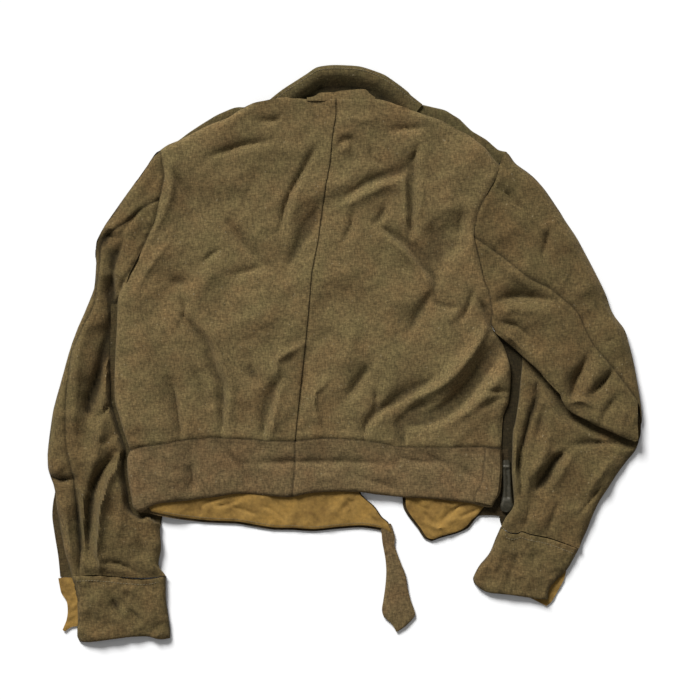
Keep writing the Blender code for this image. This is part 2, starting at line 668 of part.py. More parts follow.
def under_body_limit(points):
    """The most that the left sleeve may rise where the body lies on it."""
    edge = curve(SIDE_LEFT[1:] + BAND_END_LEFT[1:], 40)
    distance, _, side = nearest(edge, points)
    outside = np.where(side < 0, distance, 0)
    return SLEEVE_UNDER_BODY + 14 * blend(outside, 10, 27) + 14 * blend(points[..., 1], 50, 70)


def top_side(sections, steps, armhole=None, folds=(), limit=None):
    """The top side of a sleeve laid flat, and the width of its end caps at each row."""
    plan, heights = section_grids(sections, ARMHOLE_POINTS, armhole, CAP_WIDTH)
    at = np.linspace(0, len(sections) - 1, steps * (len(sections) - 1) + 1)
    top = between(plan, steady_slopes(plan), at)
    heights = between(heights, steady_slopes(heights), at) + folds_height(folds, top)
    heights = np.maximum(heights, SLEEVE_LEAST)
    if limit is not None:
        heights = np.minimum(heights, limit(top))
    caps = np.full(len(at), CAP_WIDTH)
    if armhole is not None:
        caps = np.maximum(CAP_WIDTH * np.clip(at / 2, 0, 1), CAP_LEAST)
    return with_height(top, heights), caps


def rings(top, caps, inset):
    """Rounds of a sleeve, moved in from its outside by the inset: the top side, the cap at
    its outer fold, the floor and the cap at its inner fold."""
    plan, heights = top[..., :2], top[..., 2]
    reach = np.maximum(caps - inset, 0.3 * caps)
    outward = plan[:, -1] - plan[:, -2]
    outward *= (reach / np.linalg.norm(outward, axis=1))[:, None]
    inward = plan[:, 0] - plan[:, 1]
    inward *= (reach / np.linalg.norm(inward, axis=1))[:, None]
    cap_out, cap_in = [], []
    for angle in np.linspace(0, np.pi, CAP_POINTS + 2)[1:-1]:
        share = 0.5 * (1 + np.cos(angle))
        z = inset + (heights[:, -1] - 2 * inset) * share
        cap_out.append(with_height(plan[:, -1] + np.sin(angle) * outward, z))
        z = inset + (heights[:, 0] - 2 * inset) * (1 - share)
        cap_in.append(with_height(plan[:, 0] + np.sin(angle) * inward, z))
    floor = [with_height(plan[:, k], inset) for k in (-1, -5, -9, 0)]
    upper = with_height(plan, heights - inset)
    return upper, np.stack(cap_out, 1), np.stack(floor, 1), np.stack(cap_in, 1)


def split_top(top, sections, under_points):
    """The top side cut at the hind-arm seam: its inner part and its outer part."""
    count = top.shape[1]
    seam = np.array([section.seam for section in sections], float)
    seam[0] = (under_points - 1) / (count - 1)
    seam = between(seam, steady_slopes(seam), np.linspace(0, len(seam) - 1, len(top)))
    share = np.linspace(0, 1, count)
    inner, outer = [], []
    for row, place in zip(top, seam):
        for part, start, end, points in (
            (inner, 0, place, under_points),
            (outer, place, 1, count - under_points + 1),
        ):
            at = np.linspace(start, end, points)
            part.append(np.stack([np.interp(at, share, row[:, k]) for k in range(3)], axis=1))
    return np.array(inner), np.array(outer)


def add_sleeve(side, sections, armhole, under_points, turn, limit=None):
    """A two-piece sleeve: the under sleeve shows inside the hind-arm seam, the top sleeve
    outside it, round the outer fold and along the floor to the inner fold."""
    half = SEAM_GAP / 2
    top, caps = top_side(sections, SLEEVE_STEPS, armhole, SLEEVE_FOLDS, limit)
    under_grids, top_grids = [], []
    for inset in (0.0, WOOL):
        upper, cap_out, floor, cap_in = rings(top, caps, inset)
        inner, outer = split_top(upper, sections, under_points)
        grid = trimmed(np.concatenate([cap_in, inner], axis=1), end=half, top=SEAM_GAP)
        under_grids.append(grid[:, ::-1] if turn else grid)
        grid = np.concatenate([outer, cap_out, floor], axis=1)
        grid = trimmed(grid, start=half, end=FLOOR_GAP, top=SEAM_GAP)
        top_grids.append(grid[:, ::-1] if turn else grid)
    wall(f"sleeve_{side}_under", *under_grids, WOOL_FINISH)
    wall(f"sleeve_{side}_top", *top_grids, WOOL_FINISH)


def add_cuff(side, sections, turn):
    """A cuff laid flat: a closed band with two walls and open ends."""
    top, caps = top_side(sections, 2, folds=CUFF_FOLDS)
    loops = []
    for inset in (0.0, WOOL):
        upper, cap_out, floor, cap_in = rings(top, caps, inset)
        loop = np.concatenate([upper[:, ::2], cap_out, floor, cap_in], axis=1)
        loops.append(loop[:, ::-1] if turn else loop)
    wall(f"cuff_{side}", *loops, WOOL_FINISH, closed=True)


def strip_grid(rows, columns):
    """Plan points of a strip, from its near edge to its far one."""
    f = np.linspace(0, 1, columns)[:, None]
    near = curve([Point(row.near_x, row.near_y) for row in rows], 2 * len(rows) - 1)
    far = curve([Point(row.far_x, row.far_y) for row in rows], 2 * len(rows) - 1)
    return (1 - f) * near[:, None] + f * far[:, None]


def inset_grid(grid, start, end, top, foot):
    """The same grid drawn in from its start, its end, its top and its foot by these lengths."""
    rows, columns = grid.shape[:2]
    width = np.linalg.norm(grid[rows // 2, -1] - grid[rows // 2, 0])
    depth = np.linalg.norm(grid[-1, columns // 2] - grid[0, columns // 2])
    across = np.linspace(start / width, 1 - end / width, columns) * (columns - 1)
    down = np.linspace(top / depth, 1 - foot / depth, rows) * (rows - 1)
    part = np.stack([[np.interp(across, range(columns), row[:, k]) for k in range(2)] for row in grid])
    part = part.transpose(0, 2, 1)
    return np.stack(
        [[np.interp(down, range(rows), part[:, c, k]) for k in range(2)] for c in range(columns)]
    ).transpose(2, 0, 1)


def add_front_bands():
    """The front waistbands, wool side down, each faced with tan drill."""
    half = SEAM_GAP / 2
    for side, waist, foot, start, end in (
        ("left", FRONT_WAIST_LEFT, FRONT_BAND_LEFT_BOTTOM, FRONT_BAND_LEFT_START, FRONT_BAND_LEFT_END),
        ("right", FRONT_WAIST_RIGHT, FRONT_BAND_RIGHT_BOTTOM, FRONT_BAND_RIGHT_START, FRONT_BAND_RIGHT_END),
    ):
        columns = FRONT_COLUMNS[side]
        wool = patch(curve(waist, columns), curve(foot, columns), curve(start, BAND_ROWS), curve(end, BAND_ROWS))
        wool = trimmed(wool, top=half)
        bumps = folds_height(FRONT_BAND_FOLDS, wool)
        slab(f"waistband_front_{side}", wool, lift(wool) + FRONT_TOP + bumps, lift(wool), WOOL_FINISH)
        drill = inset_grid(wool, *LINING_MARGINS[side])
        rest = lift(drill) + folds_height(FRONT_BAND_FOLDS, drill) + FRONT_TOP + LINING_GAP
        slab(f"band_lining_{side}", drill, rest + DRILL, rest, DRILL_FINISH)


def add_collar():
    """The collar fall, which lies low under the neck and rolls up to its edge, and the stand."""
    columns, rows = 21, 8
    ends = curve([Point(*COLLAR_OUTER[0]), Point(*COLLAR_INNER[0])], rows)
    others = curve([Point(*COLLAR_OUTER[-1]), Point(*COLLAR_INNER[-1])], rows)
    fall = patch(curve(COLLAR_OUTER, columns), curve(COLLAR_INNER, columns), ends, others)
    depth = np.linspace(0, 1, rows)[:, None]
    roll = np.interp(depth, COLLAR_PROFILE_AT, COLLAR_PROFILE)
    end = blend(abs(fall[..., 0] - COLLAR_MIDDLE), 48, 74)
    height = COLLAR_FLOOR + COLLAR_ROLL * roll * (1 - 0.78 * end) + COLLAR_ENDS * end
    sheet("collar", fall, height, DOUBLE_WOOL, WOOL_UNDER_FINISH)

    neck = curve(NECK, 60)
    neck = neck[(neck[:, 0] > STAND_FROM) & (neck[:, 0] < STAND_TO)]
    neck = shifted(curve([Point(*point) for point in neck], 12), 2 * SEAM_GAP)
    top = curve(STAND_TOP, 12)
    stand = np.stack([(1 - share) * top + share * neck for share in (0.0, 0.35, 1.0)])
    level = body_height(neck) - np.array([[1.6], [0.5], [0.0]])
    slab("collar_stand", stand, level, level - WOOL, WOOL_FINISH)


def add_straps():
    """The shoulder straps, which lie under the shoulders and show as slivers outside them."""
    for side, outer, inner in (
        ("left", STRAP_LEFT_OUTER, STRAP_LEFT_INNER),
        ("right", STRAP_RIGHT_OUTER, STRAP_RIGHT_INNER),
    ):
        start = curve([outer[0], inner[0]], 4)
        end = curve([outer[-1], inner[-1]], 4)
        strap = patch(curve(outer, 12), curve(inner, 12), start, end)
        slab(f"shoulder_strap_{side}", strap, WOOL, 0.0, WOOL_UNDER_FINISH)


def add_belt():
    """The waist belt's strap, sewn to the left front band and pointed at its tip."""
    left, right = curve(BELT_LEFT, 16), curve(BELT_RIGHT, 16)
    across = np.linspace(0, 1, 4)[None, :, None]
    strap = (1 - across) * left[:, None] + across * right[:, None]
    slab("belt_strap", strap, DOUBLE_WOOL, 0.0, WOOL_FINISH)


def add_buckle():
    """The tab sewn on the band's right end, and the flat buckle that stands out beside it."""
    tab = patch(curve(TAB_TOP, 4), curve(TAB_FOOT, 4), curve(TAB_EDGE, 7), curve(TAB_END, 7))
    foot = band_height(tab) + TAB_GAP
    slab("buckle_tab", tab, foot + WOOL, foot, WOOL_FINISH)
    slab("buckle", strip_grid(BUCKLE, 5), BUCKLE_TOP, BUCKLE_TOP - BUCKLE_PLATE, BUCKLE_FINISH)


def add_cuff_linings():
    """The tan drill that shows beside each cuff at its opening."""
    for side, rows in (("left", CUFF_LINING_LEFT), ("right", CUFF_LINING_RIGHT)):
        strip = strip_grid(rows, 4)
        if side == "left":
            strip = strip[:, ::-1]
        slab(f"cuff_lining_{side}", strip, CUFF_LINING_TOP, 0.0, DRILL_FINISH)


def clear():
    """Empties the scene."""
    for thing in list(bpy.data.objects):
        bpy.data.objects.remove(thing, do_unlink=True)


def main():
    clear()
    add_back()
    add_fronts()
    add_back_band()
    add_front_bands()
    add_collar()
    add_straps()
    armhole = curve(ARMHOLE_LEFT, ARMHOLE_POINTS)[::-1]
    add_sleeve("left", SLEEVE_LEFT, armhole, 8, True, under_body_limit)
    armhole = curve(ARMHOLE_RIGHT, ARMHOLE_POINTS)[::-1]
    add_sleeve("right", SLEEVE_RIGHT, armhole, 7, False)
    add_cuff("left", CUFF_LEFT, True)
    add_cuff("right", CUFF_RIGHT, False)
    add_cuff_linings()
    add_belt()
    add_buckle()


main()
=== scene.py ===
"""Looks of the wool battledress jacket, laid flat on its front and seen from straight above.

Plan positions are counted in units of 1.25 mm to the right and down from the upper left corner
of the view. Heights and widths are in millimetres. Each piece of cloth is a thin closed shell.
"""

import math
from collections import namedtuple

import bpy
import numpy as np
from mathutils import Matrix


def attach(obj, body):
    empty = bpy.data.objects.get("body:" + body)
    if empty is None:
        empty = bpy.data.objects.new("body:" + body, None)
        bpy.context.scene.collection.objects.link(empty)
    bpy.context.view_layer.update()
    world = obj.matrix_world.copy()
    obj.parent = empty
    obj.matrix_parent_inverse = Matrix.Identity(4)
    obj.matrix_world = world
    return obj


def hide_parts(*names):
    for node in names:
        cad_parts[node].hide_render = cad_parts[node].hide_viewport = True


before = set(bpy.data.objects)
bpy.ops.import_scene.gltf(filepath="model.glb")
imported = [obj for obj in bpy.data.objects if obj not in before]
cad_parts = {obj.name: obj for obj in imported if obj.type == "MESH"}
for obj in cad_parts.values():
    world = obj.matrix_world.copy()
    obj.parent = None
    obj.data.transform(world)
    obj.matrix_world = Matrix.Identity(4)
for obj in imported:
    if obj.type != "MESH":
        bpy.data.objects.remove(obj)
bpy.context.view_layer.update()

UNIT = 1.25
CENTRE = np.array([344.5, 354.2])
WOOL = 2.0
DRILL = 1.0
COLLAR = 2.6
DEPTH = 3.8
BACK_TOP = 11.4
BAND_TOP = 11.2
SLEEVE_TOP = 13.0
UPPER_ARM_TOP = 12.8
FOREARM_TOP = 11.6
CUFF_TOP = 9.6
CEILING = 23
SKY_LIGHT = 0.26
KEY_LIGHT = 5.3
VIEW_WIDTH = 0.875

Fold = namedtuple("Fold", "path left right height")

# Outlines and seams

TAB_EDGE = [(500, 449), (486, 448), (485, 455), (484, 462), (481, 483), (474.7, 495), (474, 501)]
SHOULDER_LEFT = [(160.4, 150), (168.6, 144.7), (180.8, 139.6), (200, 129.4), (211, 124.3), (228, 118),
                 (237, 112), (251, 104.4), (266.5, 100.8)]
NECK_LEFT = [(266.5, 100.8), (277, 98.4), (288, 97.4), (307, 99.3), (320, 99.4), (335.8, 99.2)]
NECK_RIGHT = [(335.8, 99.2), (355, 99.2), (376.5, 99.3), (389, 102), (398, 105.4), (409.5, 109)]
SHOULDER_RIGHT = [(409.5, 109), (424.5, 115), (441, 120), (453, 126), (466, 133), (476.5, 141),
                  (487, 150.4), (493, 158.6), (499.5, 165)]
CENTRE_SEAM = [(335.8, 99.2), (335.8, 116.5), (332, 138), (330.5, 160), (327, 179), (324.4, 193),
               (321.8, 211), (318.8, 237), (315, 257), (311.6, 273), (310.2, 295), (306, 340),
               (300, 395), (295, 441)]
ARMHOLE_LEFT = [(160.4, 150), (162, 161), (164.5, 174), (163, 184.5), (159.4, 200), (155, 220),
                (145, 243), (134, 265.6), (125, 279), (121.6, 288)]
SIDE_LEFT = [(121.6, 288), (118.4, 300), (117, 333), (115.2, 365), (115.2, 399), (120, 417), (125, 434),
             (130.5, 450.4)]
ARMHOLE_RIGHT = [(499.5, 165), (495, 179), (489, 190), (480.6, 205.5), (475.5, 221), (474, 237),
                 (479.5, 261), (484.6, 283), (488.4, 290), (492, 312), (491, 323), (495, 332.5)]
SIDE_RIGHT = [(495, 332.5), (503, 345), (508.5, 360), (511, 374), (509, 401), (503.5, 416), (502, 430),
              (501.5, 448.5)]
WAIST_LEFT = [(130.5, 450.4), (142, 447), (162.7, 444), (182.7, 440.2), (201, 439), (215, 437),
              (222, 438.4), (252, 439.4), (263, 441), (295, 441.4)]
WAIST_RIGHT = [(295, 441.4), (310, 439.5), (331, 438.4), (361, 440.4), (382, 443.5), (397, 446.5),
               (407, 447), (450, 447.6), (486, 447), (501.5, 448.5)]
BAND_SEAM = [(295, 441.4), (295, 456), (294.4, 469), (293, 486), (292, 497)]
BAND_END_LEFT = [(130.5, 450.4), (127.5, 459), (128.5, 478), (131, 489), (132.5, 502), (135, 509), (141, 513)]
BAND_END_RIGHT = [(501.5, 448.5), (502.5, 465), (501.6, 480), (500, 493), (495, 501), (492, 507.5)]
HEM_LEFT = [(141, 513), (151, 506), (160, 503), (170, 502), (186, 500.6), (201, 498.6), (219, 496.5),
            (232, 494), (246, 493.7), (262, 495), (283, 497), (292, 497)]
HEM_RIGHT = [(292, 497), (310, 493), (336, 491.4), (360, 492), (377, 494.5), (402, 497), (426, 498.3),
             (450, 500.6), (472, 503.4), (482, 506.5), (492, 507.5)]

FRONT_BOTTOM_LEFT = [(137, 512), (150, 513.4), (161, 516), (180.6, 519.5), (206, 522.6), (237, 524),
                     (252, 526.6), (272, 529.7), (293, 530.2), (313.5, 531.4), (336, 529.2),
                     (361, 527.7), (381, 530.7), (395, 536.5)]
FRONT_END_LEFT = [(352, 470), (360.4, 492.4), (365.5, 498.6), (375, 507), (382, 517), (388, 522),
                  (391, 528), (395, 536.5)]
FRONT_END_RIGHT = [(396, 470), (402.5, 497.5), (403.5, 508), (408.8, 517), (418, 529), (424, 538),
                   (431.5, 541.6)]
FRONT_BOTTOM_RIGHT = [(431.5, 541.6), (441, 538), (457, 533.5), (468, 528.4), (474, 521), (478, 516.6),
                      (482, 515.6), (494, 515.6), (505, 517)]

COLLAR_OUTER = [(268, 101), (282, 90), (296, 81), (307, 74), (316, 68), (325, 66), (334, 65.3),
                (346, 65.6), (361, 67), (378, 72.5), (386, 76), (399, 85), (408, 92), (411, 95.5),
                (422.5, 104.5)]
COLLAR_INNER = [(279, 108), (300, 112), (335, 113), (370, 112), (393, 114), (411.5, 118)]
STAND_TOP = [(307, 97.8), (314, 96.6), (320, 93), (334, 92.4), (341, 91), (352, 90), (365, 89.6),
             (370, 94.0), (375, 97.6)]
STAND_FOOT = [(307, 101), (320, 101), (334, 101), (352, 101), (375, 101)]
STRAP_LEFT_OUTER = [(170, 145.5), (179.8, 139.2), (188, 133), (197, 127), (207, 120.6), (216.5, 115),
                    (230, 109), (237, 107), (244, 107)]
STRAP_LEFT_INNER = [(184, 160), (206, 147), (232, 132), (250, 122)]
STRAP_RIGHT_OUTER = [(414, 103.6), (422, 104.5), (433, 107), (444.9, 110), (453, 114.7), (460, 119.2),
                     (471, 130), (479, 135), (487, 140), (498, 149.4), (506, 151.6)]
STRAP_RIGHT_INNER = [(409, 122), (430, 128), (450, 138), (470, 153), (493, 174)]

LEFT_SEAM = [(159.2, 200), (151, 203.5), (141, 209.6), (131, 219), (120.6, 226), (110, 233), (103, 240),
             (100, 245), (99.3, 267), (97, 282), (94, 305), (84, 325), (74, 346), (71, 355), (66, 401),
             (66, 442), (68, 455), (73.4, 478), (78, 524), (80, 549), (79, 575.4)]
LEFT_OUTER = [(160.4, 150), (156, 153), (150, 161), (142, 175), (137, 180), (128, 192), (114.5, 211),
              (105, 225), (97, 240), (95.3, 253.5), (96.3, 267), (95.6, 282), (92, 294), (82.6, 317),
              (77, 330), (71, 346), (61.6, 379), (54.5, 404.5), (50.4, 427), (47.6, 452), (48.6, 471),
              (53.6, 485.5), (55.3, 494), (57, 511), (61.7, 536.5), (66.8, 559.5), (71.3, 575.4)]
LEFT_LOWER = [(160.4, 150), (150, 161.5), (128, 193), (106, 226), (97, 253), (92.5, 295), (72.5, 346),
              (56, 405), (49.2, 452), (50, 471), (54.7, 490), (52.8, 503), (52, 517), (54.7, 536.5),
              (57.9, 556), (60, 577)]
LEFT_INNER = [(121.6, 288), (120, 300), (123, 330), (133, 365), (150, 400), (161, 440), (163, 480),
              (162, 517), (160, 530), (161, 548), (158.6, 565), (165.6, 575.4)]
LEFT_CUFF_LINE = [(165.6, 575.4), (154, 577), (140, 577.6), (120, 576.6), (97.4, 574.8), (79, 575.4)]

RIGHT_HEAD = [(474, 237), (475.5, 221), (480.6, 205.5), (489, 190), (495, 179), (499.5, 165), (502, 158),
              (506, 151.2)]
RIGHT_SEAM = [(474, 237), (491.5, 249), (503, 257), (514, 266), (526, 276), (537, 282.6), (549, 288),
              (560, 297), (572, 307), (580, 317.6), (584.5, 329), (592.5, 344), (606, 360),
              (623.5, 382), (637, 400)]
RIGHT_OUTER = [(506, 151.2), (510, 155.5), (516, 163.7), (527.6, 172), (535.7, 179), (546, 191),
               (560, 211.6), (565, 220), (575, 235), (583, 249), (595, 272), (606, 295), (611, 309.5),
               (615.5, 317.6), (624.6, 330), (629, 344), (633.8, 363.5), (639, 393), (641, 408),
               (641.5, 424)]
RIGHT_LAP_NEAR = [(495, 332.5), (503, 339.4), (513.5, 348), (521, 355), (537, 369.5), (548, 381),
                  (558, 391), (561.4, 400)]
RIGHT_LAP_FAR = [(561.4, 400), (565.5, 407), (573, 413.5), (588, 421), (596, 425.5), (618, 435),
                 (630, 440), (637, 440)]
FORE_TOP = [(519, 346), (540, 358), (560, 373), (580, 392), (610, 408), (639, 414)]
FORE_LEFT = [(519, 346), (522.7, 358), (520.6, 381), (518.6, 401), (515.5, 421.6), (513, 432),
             (512.4, 452), (512, 473), (514, 504), (505.4, 518), (501, 527)]
FORE_RIGHT = [(639, 414), (641, 430), (640, 437), (635.7, 450), (627, 461), (618, 473), (603, 496),
              (597.8, 504.5), (592.7, 515.7), (587.6, 529), (578.9, 548.4)]
RIGHT_CUFF_LINE = [(501, 527), (509, 532), (517, 532.8), (522, 531), (531, 534), (547, 537), (562, 542),
                   (578.9, 548.4)]

CUFF_LEFT_SIDES = ([(71.3, 575.8), (74.4, 588), (77, 604), (77.6, 619), (77, 636), (79.5, 642)],
                   [(165.6, 576), (165.6, 598), (167.6, 613), (170, 631), (169.8, 638.4)])
CUFF_LEFT_TOP = [(71.3, 575.8), (97.4, 575.4), (129, 578.4), (148, 579.3), (165.6, 576)]
CUFF_LEFT_FOOT = [(79.5, 642), (91, 642), (116.5, 638.6), (134, 636.7), (148, 636.7), (160, 639.4),
                  (169.8, 638.4)]
CUFF_RIGHT_SIDES = ([(501, 527), (495.7, 539), (489.6, 553.5), (479.4, 566), (473.3, 578), (474, 583)],
                    [(578.9, 548.8), (573, 560), (567, 570), (558, 579), (550, 588), (547.8, 599.4)])
CUFF_RIGHT_TOP = [(501, 527), (509, 533), (517, 533.8), (522, 532), (531, 535), (547, 538), (562, 543),
                  (578.9, 548.8)]
CUFF_RIGHT_FOOT = [(474, 583), (482, 590), (490.6, 593), (511, 595), (531, 598), (547.8, 599.4)]

BELT_LEFT = [(379, 522), (381.2, 531), (382.5, 543), (385.4, 559), (386.3, 572), (385.4, 586), (383.4, 600.5),
             (382, 610), (384, 617), (391.6, 624), (396.4, 631.8)]
BELT_RIGHT = [(391, 524), (394.8, 536.4), (394.7, 546), (400, 561), (405.4, 574.6), (407.8, 589),
              (410.7, 600.5), (414.5, 611), (414.5, 617), (406, 626), (397.6, 632)]

SEWN_LINES = [ARMHOLE_LEFT, ARMHOLE_RIGHT[1:], WAIST_LEFT + WAIST_RIGHT[1:], CENTRE_SEAM, BAND_SEAM,
              LEFT_SEAM, RIGHT_SEAM, TAB_EDGE]

# Folds of the back: a path, the widths to its left and right in the way it runs, and a height
BACK_FOLDS = [
    Fold([(210, 157), (227, 151), (242, 146), (271, 141)], 11, 8, -2.0),
    Fold([(257, 121), (273, 121), (285, 116)], 9, 8, -1.5),
    Fold([(316, 146), (301, 174), (291, 191), (284, 211), (280, 230)], 10, 6, -2.4),
    Fold([(320, 205), (306, 229), (296, 250), (287, 269)], 11, 7, -2.2),
    Fold([(308, 160), (294, 200), (292, 235)], 14, 12, 1.3),
    Fold([(354.5, 210), (351, 227), (343, 245)], 7, 9, -1.7),
    Fold([(342, 201), (358, 189), (372, 181), (401, 172), (410, 164)], 13, 6, -3.0),
    Fold([(345, 206), (362, 197), (380, 188), (404, 180)], 10, 9, 1.2),
    Fold([(419, 146), (413, 162), (411, 185), (412, 205), (411, 236)], 7.5, 7.5, -3.0),
    Fold([(405, 175), (405, 210), (407, 236)], 8, 5, 0.9),
    Fold([(422, 165), (422, 200), (417, 222)], 5, 11, 0.8),
    Fold([(390, 130), (405, 129), (424, 129)], 8, 7, -1.8),
    Fold([(372, 146), (372, 158), (384, 166)], 5, 6, -1.1),
    Fold([(387, 204), (380, 218), (371, 226)], 6, 6, -1.3),
    Fold([(380, 227), (391, 234), (402, 241), (413, 250), (424, 264), (434, 279), (437, 295)], 8, 4.5, -3.0),
    Fold([(384, 236), (402, 250), (416, 264), (428, 282), (432, 298)], 5, 11, 1.7),
    Fold([(432, 223), (437, 246), (443, 274)], 9, 8, -1.3),
    Fold([(432, 291), (424, 306), (416, 318), (410, 334)], 7, 9, -2.0),
    Fold([(434, 302), (446, 307), (460, 308)], 7, 7, -1.4),
    Fold([(475, 288), (466, 313), (458, 323)], 6, 8, -1.6),
    Fold([(489, 320), (478, 344), (462, 366), (440, 386), (412, 400)], 12, 11, 3.6),
    Fold([(500, 347), (491, 360), (479, 378), (464, 396), (450, 409), (436, 417), (408, 424)], 8, 13, -7.0),
    Fold([(503, 372), (488, 392), (470, 410), (448, 424)], 12, 14, 1.8),
    Fold([(482, 392.5), (496, 391), (509, 392)], 5, 5, -1.2),
    Fold([(480, 409), (496, 400), (506, 398)], 7, 6, -1.0),
    Fold([(482, 303), (488, 316), (491, 330)], 7, 7, -4.0),
    Fold([(225, 217), (243, 242), (265, 267)], 9, 8, -2.2),
    Fold([(232, 276), (248, 271), (266, 267)], 8, 7, -1.3),
    Fold([(202, 263), (210, 256), (219, 250)], 4, 5, -1.0),
    Fold([(168, 168), (181, 184), (196, 206)], 7, 7, -2.0),
    Fold([(172, 152), (172, 190), (160, 225)], 10, 11, 1.4),
    Fold([(172, 240), (150, 268), (136, 292)], 8, 9, 0.9),
    Fold([(170, 282), (190, 282)], 8, 8, -1.0),
    Fold([(184, 296), (184, 318)], 8, 5, -1.5),
    Fold([(184, 318), (178, 330)], 3, 3, -1.0),
    Fold([(184, 316), (196, 330), (208, 346), (215, 370), (222.5, 386), (223, 412), (222, 438)],
         4.5, 12, -3.6),
    Fold([(200, 322), (216, 344), (224, 366), (231, 386), (230, 410)], 12, 6, 1.6),
    Fold([(172, 380), (177, 405), (180, 424), (182.5, 441)], 4, 10, -2.4),
    Fold([(193, 365), (203, 390), (211, 412)], 10, 8, -1.9),
    Fold([(280, 381), (273, 392), (267, 412), (264, 428), (262.5, 441)], 5, 9, -3.0),
    Fold([(305, 344), (288, 353), (277, 362), (281, 386)], 6, 6, 1.6),
    Fold([(283, 384), (276, 412), (271, 436)], 8, 5, 1.5),
    Fold([(250, 362), (254, 376), (262, 384)], 13, 12, -1.6),
    Fold([(432, 380), (410, 393), (392, 404), (376, 414), (366, 427), (366, 441)], 4, 9, -3.4),
    Fold([(376, 389), (376, 404), (373, 414)], 6, 5, -1.5),
    Fold([(407, 417), (401, 425), (402, 436), (403, 447)], 5, 7, -3.6),
    Fold([(428, 403), (412, 410), (403, 422)], 11, 5, -1.8),
    Fold([(327, 383), (315, 394), (316, 410), (322, 430)], 4, 8, 1.6),
    Fold([(370, 366), (358, 382), (346, 400)], 12, 12, -2.2),
    Fold([(312, 345), (304, 380), (300, 410)], 16, 12, -1.2),
    Fold([(345, 300), (352, 340), (340, 370)], 26, 26, 1.6),
    Fold([(345, 118), (362, 121), (380, 118)], 9, 9, 0.8),
    Fold([(335, 150), (344, 140), (352, 141), (352, 158)], 7, 6, -1.2),
    Fold([(226, 300), (250, 300), (266, 330)], 30, 26, 1.6),
    Fold([(140, 320), (150, 380), (160, 420)], 24, 24, 1.6),
    Fold([(226, 180), (250, 190)], 22, 24, 1.1),
    Fold([(448, 170), (450, 215)], 24, 20, 1.3),
    Fold([(462, 213), (458, 238)], 8, 8, -1.0),
]
BAND_FOLDS = [
    Fold([(219, 443), (226, 453), (237, 463), (250, 484)], 8, 6, -1.6),
    Fold([(190, 462), (193, 476), (194, 491)], 5, 8, -1.5),
    Fold([(236, 464), (265, 463), (300, 462), (350, 462), (396, 465)], 9, 7, -1.2),
    Fold([(420, 452), (440, 462), (452, 472)], 9, 9, -1.0),
    Fold([(400, 458), (420, 462), (444, 461)], 8, 7, -0.9),
    Fold([(462, 468), (474, 478), (482, 484)], 7, 6, -1.0),
    Fold([(350, 474), (380, 484), (400, 490)], 11, 9, -0.8),
    Fold([(150, 470), (170, 478), (190, 476)], 16, 16, 0.9),
    Fold([(310, 476), (340, 480)], 14, 14, 0.7),
]
LEFT_FOLDS = [
    Fold([(122, 246), (114, 262), (112, 292), (110, 320), (108, 345)], 6, 9, -3.0),
    Fold([(118, 238), (108, 236), (103, 244)], 8, 8, -2.6),
    Fold([(139, 212), (128, 226), (121, 234)], 6, 7, -1.6),
    Fold([(107, 340), (101, 362), (95, 386), (88, 404), (87, 420)], 13, 7, -4.6),
    Fold([(116, 400), (106, 410), (96, 421)], 5, 5, -2.0),
    Fold([(82, 330), (78, 372), (75, 410), (76, 452)], 12, 12, 1.8),
    Fold([(104, 380), (103, 410), (98, 450), (86, 490)], 13, 13, 2.0),
    Fold([(48, 474), (58, 479), (74, 479)], 5, 6, -2.4),
    Fold([(54, 470), (66, 466)], 8, 8, 1.2),
    Fold([(128, 458), (119, 464), (114, 472), (109, 481), (105.5, 494), (101, 508), (99.3, 531), (97.5, 552),
          (100, 562), (100, 575)], 9, 4, 3.4),
    Fold([(116, 452), (101, 472), (94, 487), (90, 510), (88, 536), (88, 560)], 8, 8, -4.2),
    Fold([(74, 477), (77.5, 490), (79.5, 524), (81, 549), (80, 572)], 4, 9, -2.2),
    Fold([(84, 492), (85, 530), (88, 560)], 6, 5, 1.8),
    Fold([(118, 480), (122, 510), (118, 540)], 12, 12, 1.2),
    Fold([(101, 563), (112, 563), (125, 566), (142, 577)], 6, 5, -1.8),
    Fold([(140, 520), (142, 545), (152, 562)], 9, 9, -1.3),
    Fold([(120, 430), (108, 440), (95, 446)], 6, 6, -1.2),
    Fold([(66, 500), (69, 530), (73, 560)], 6, 6, 1.2),
]
RIGHT_FOLDS = [
    Fold([(494, 186), (503, 193), (513, 201), (524, 212)], 6, 4, -1.6),
    Fold([(549, 231), (546, 244), (543, 258)], 5, 7, -1.8),
    Fold([(495, 301), (512, 297), (528, 297), (555, 301)], 12, 9, -2.6),
    Fold([(497, 313), (520, 309), (548, 314)], 9, 10, 1.4),
    Fold([(498, 322), (515, 326), (530, 338)], 7, 7, -1.4),
    Fold([(500, 330), (512, 340), (530, 356)], 7, 7, 1.4),
    Fold([(588, 355), (582, 368), (575, 381), (572, 400)], 12, 9, -3.4),
    Fold([(613, 369), (604, 381), (593, 393)], 6, 4, -2.4),
    Fold([(602, 366), (592, 378), (586, 392)], 8, 8, 1.8),
    Fold([(604.6, 343), (609, 341), (614, 340)], 4, 4, -1.5),
    Fold([(566, 403), (574, 401.5), (582, 401), (591, 406.5)], 6, 6, 2.0),
    Fold([(560, 345), (562, 370), (560, 388)], 14, 12, 1.6),
    Fold([(600, 300), (616, 332), (622, 352)], 10, 10, 1.4),
    Fold([(560, 230), (580, 262), (594, 292)], 14, 14, 1.2),
    Fold([(520, 200), (540, 225), (560, 258)], 16, 16, 0.9),
    Fold([(497, 262), (515, 276), (530, 290)], 10, 10, 0.9),
    Fold([(618, 396), (608, 408), (600, 424)], 7, 7, -1.6),
    Fold([(625, 404), (622, 420), (620, 434)], 6, 6, 1.2),
]
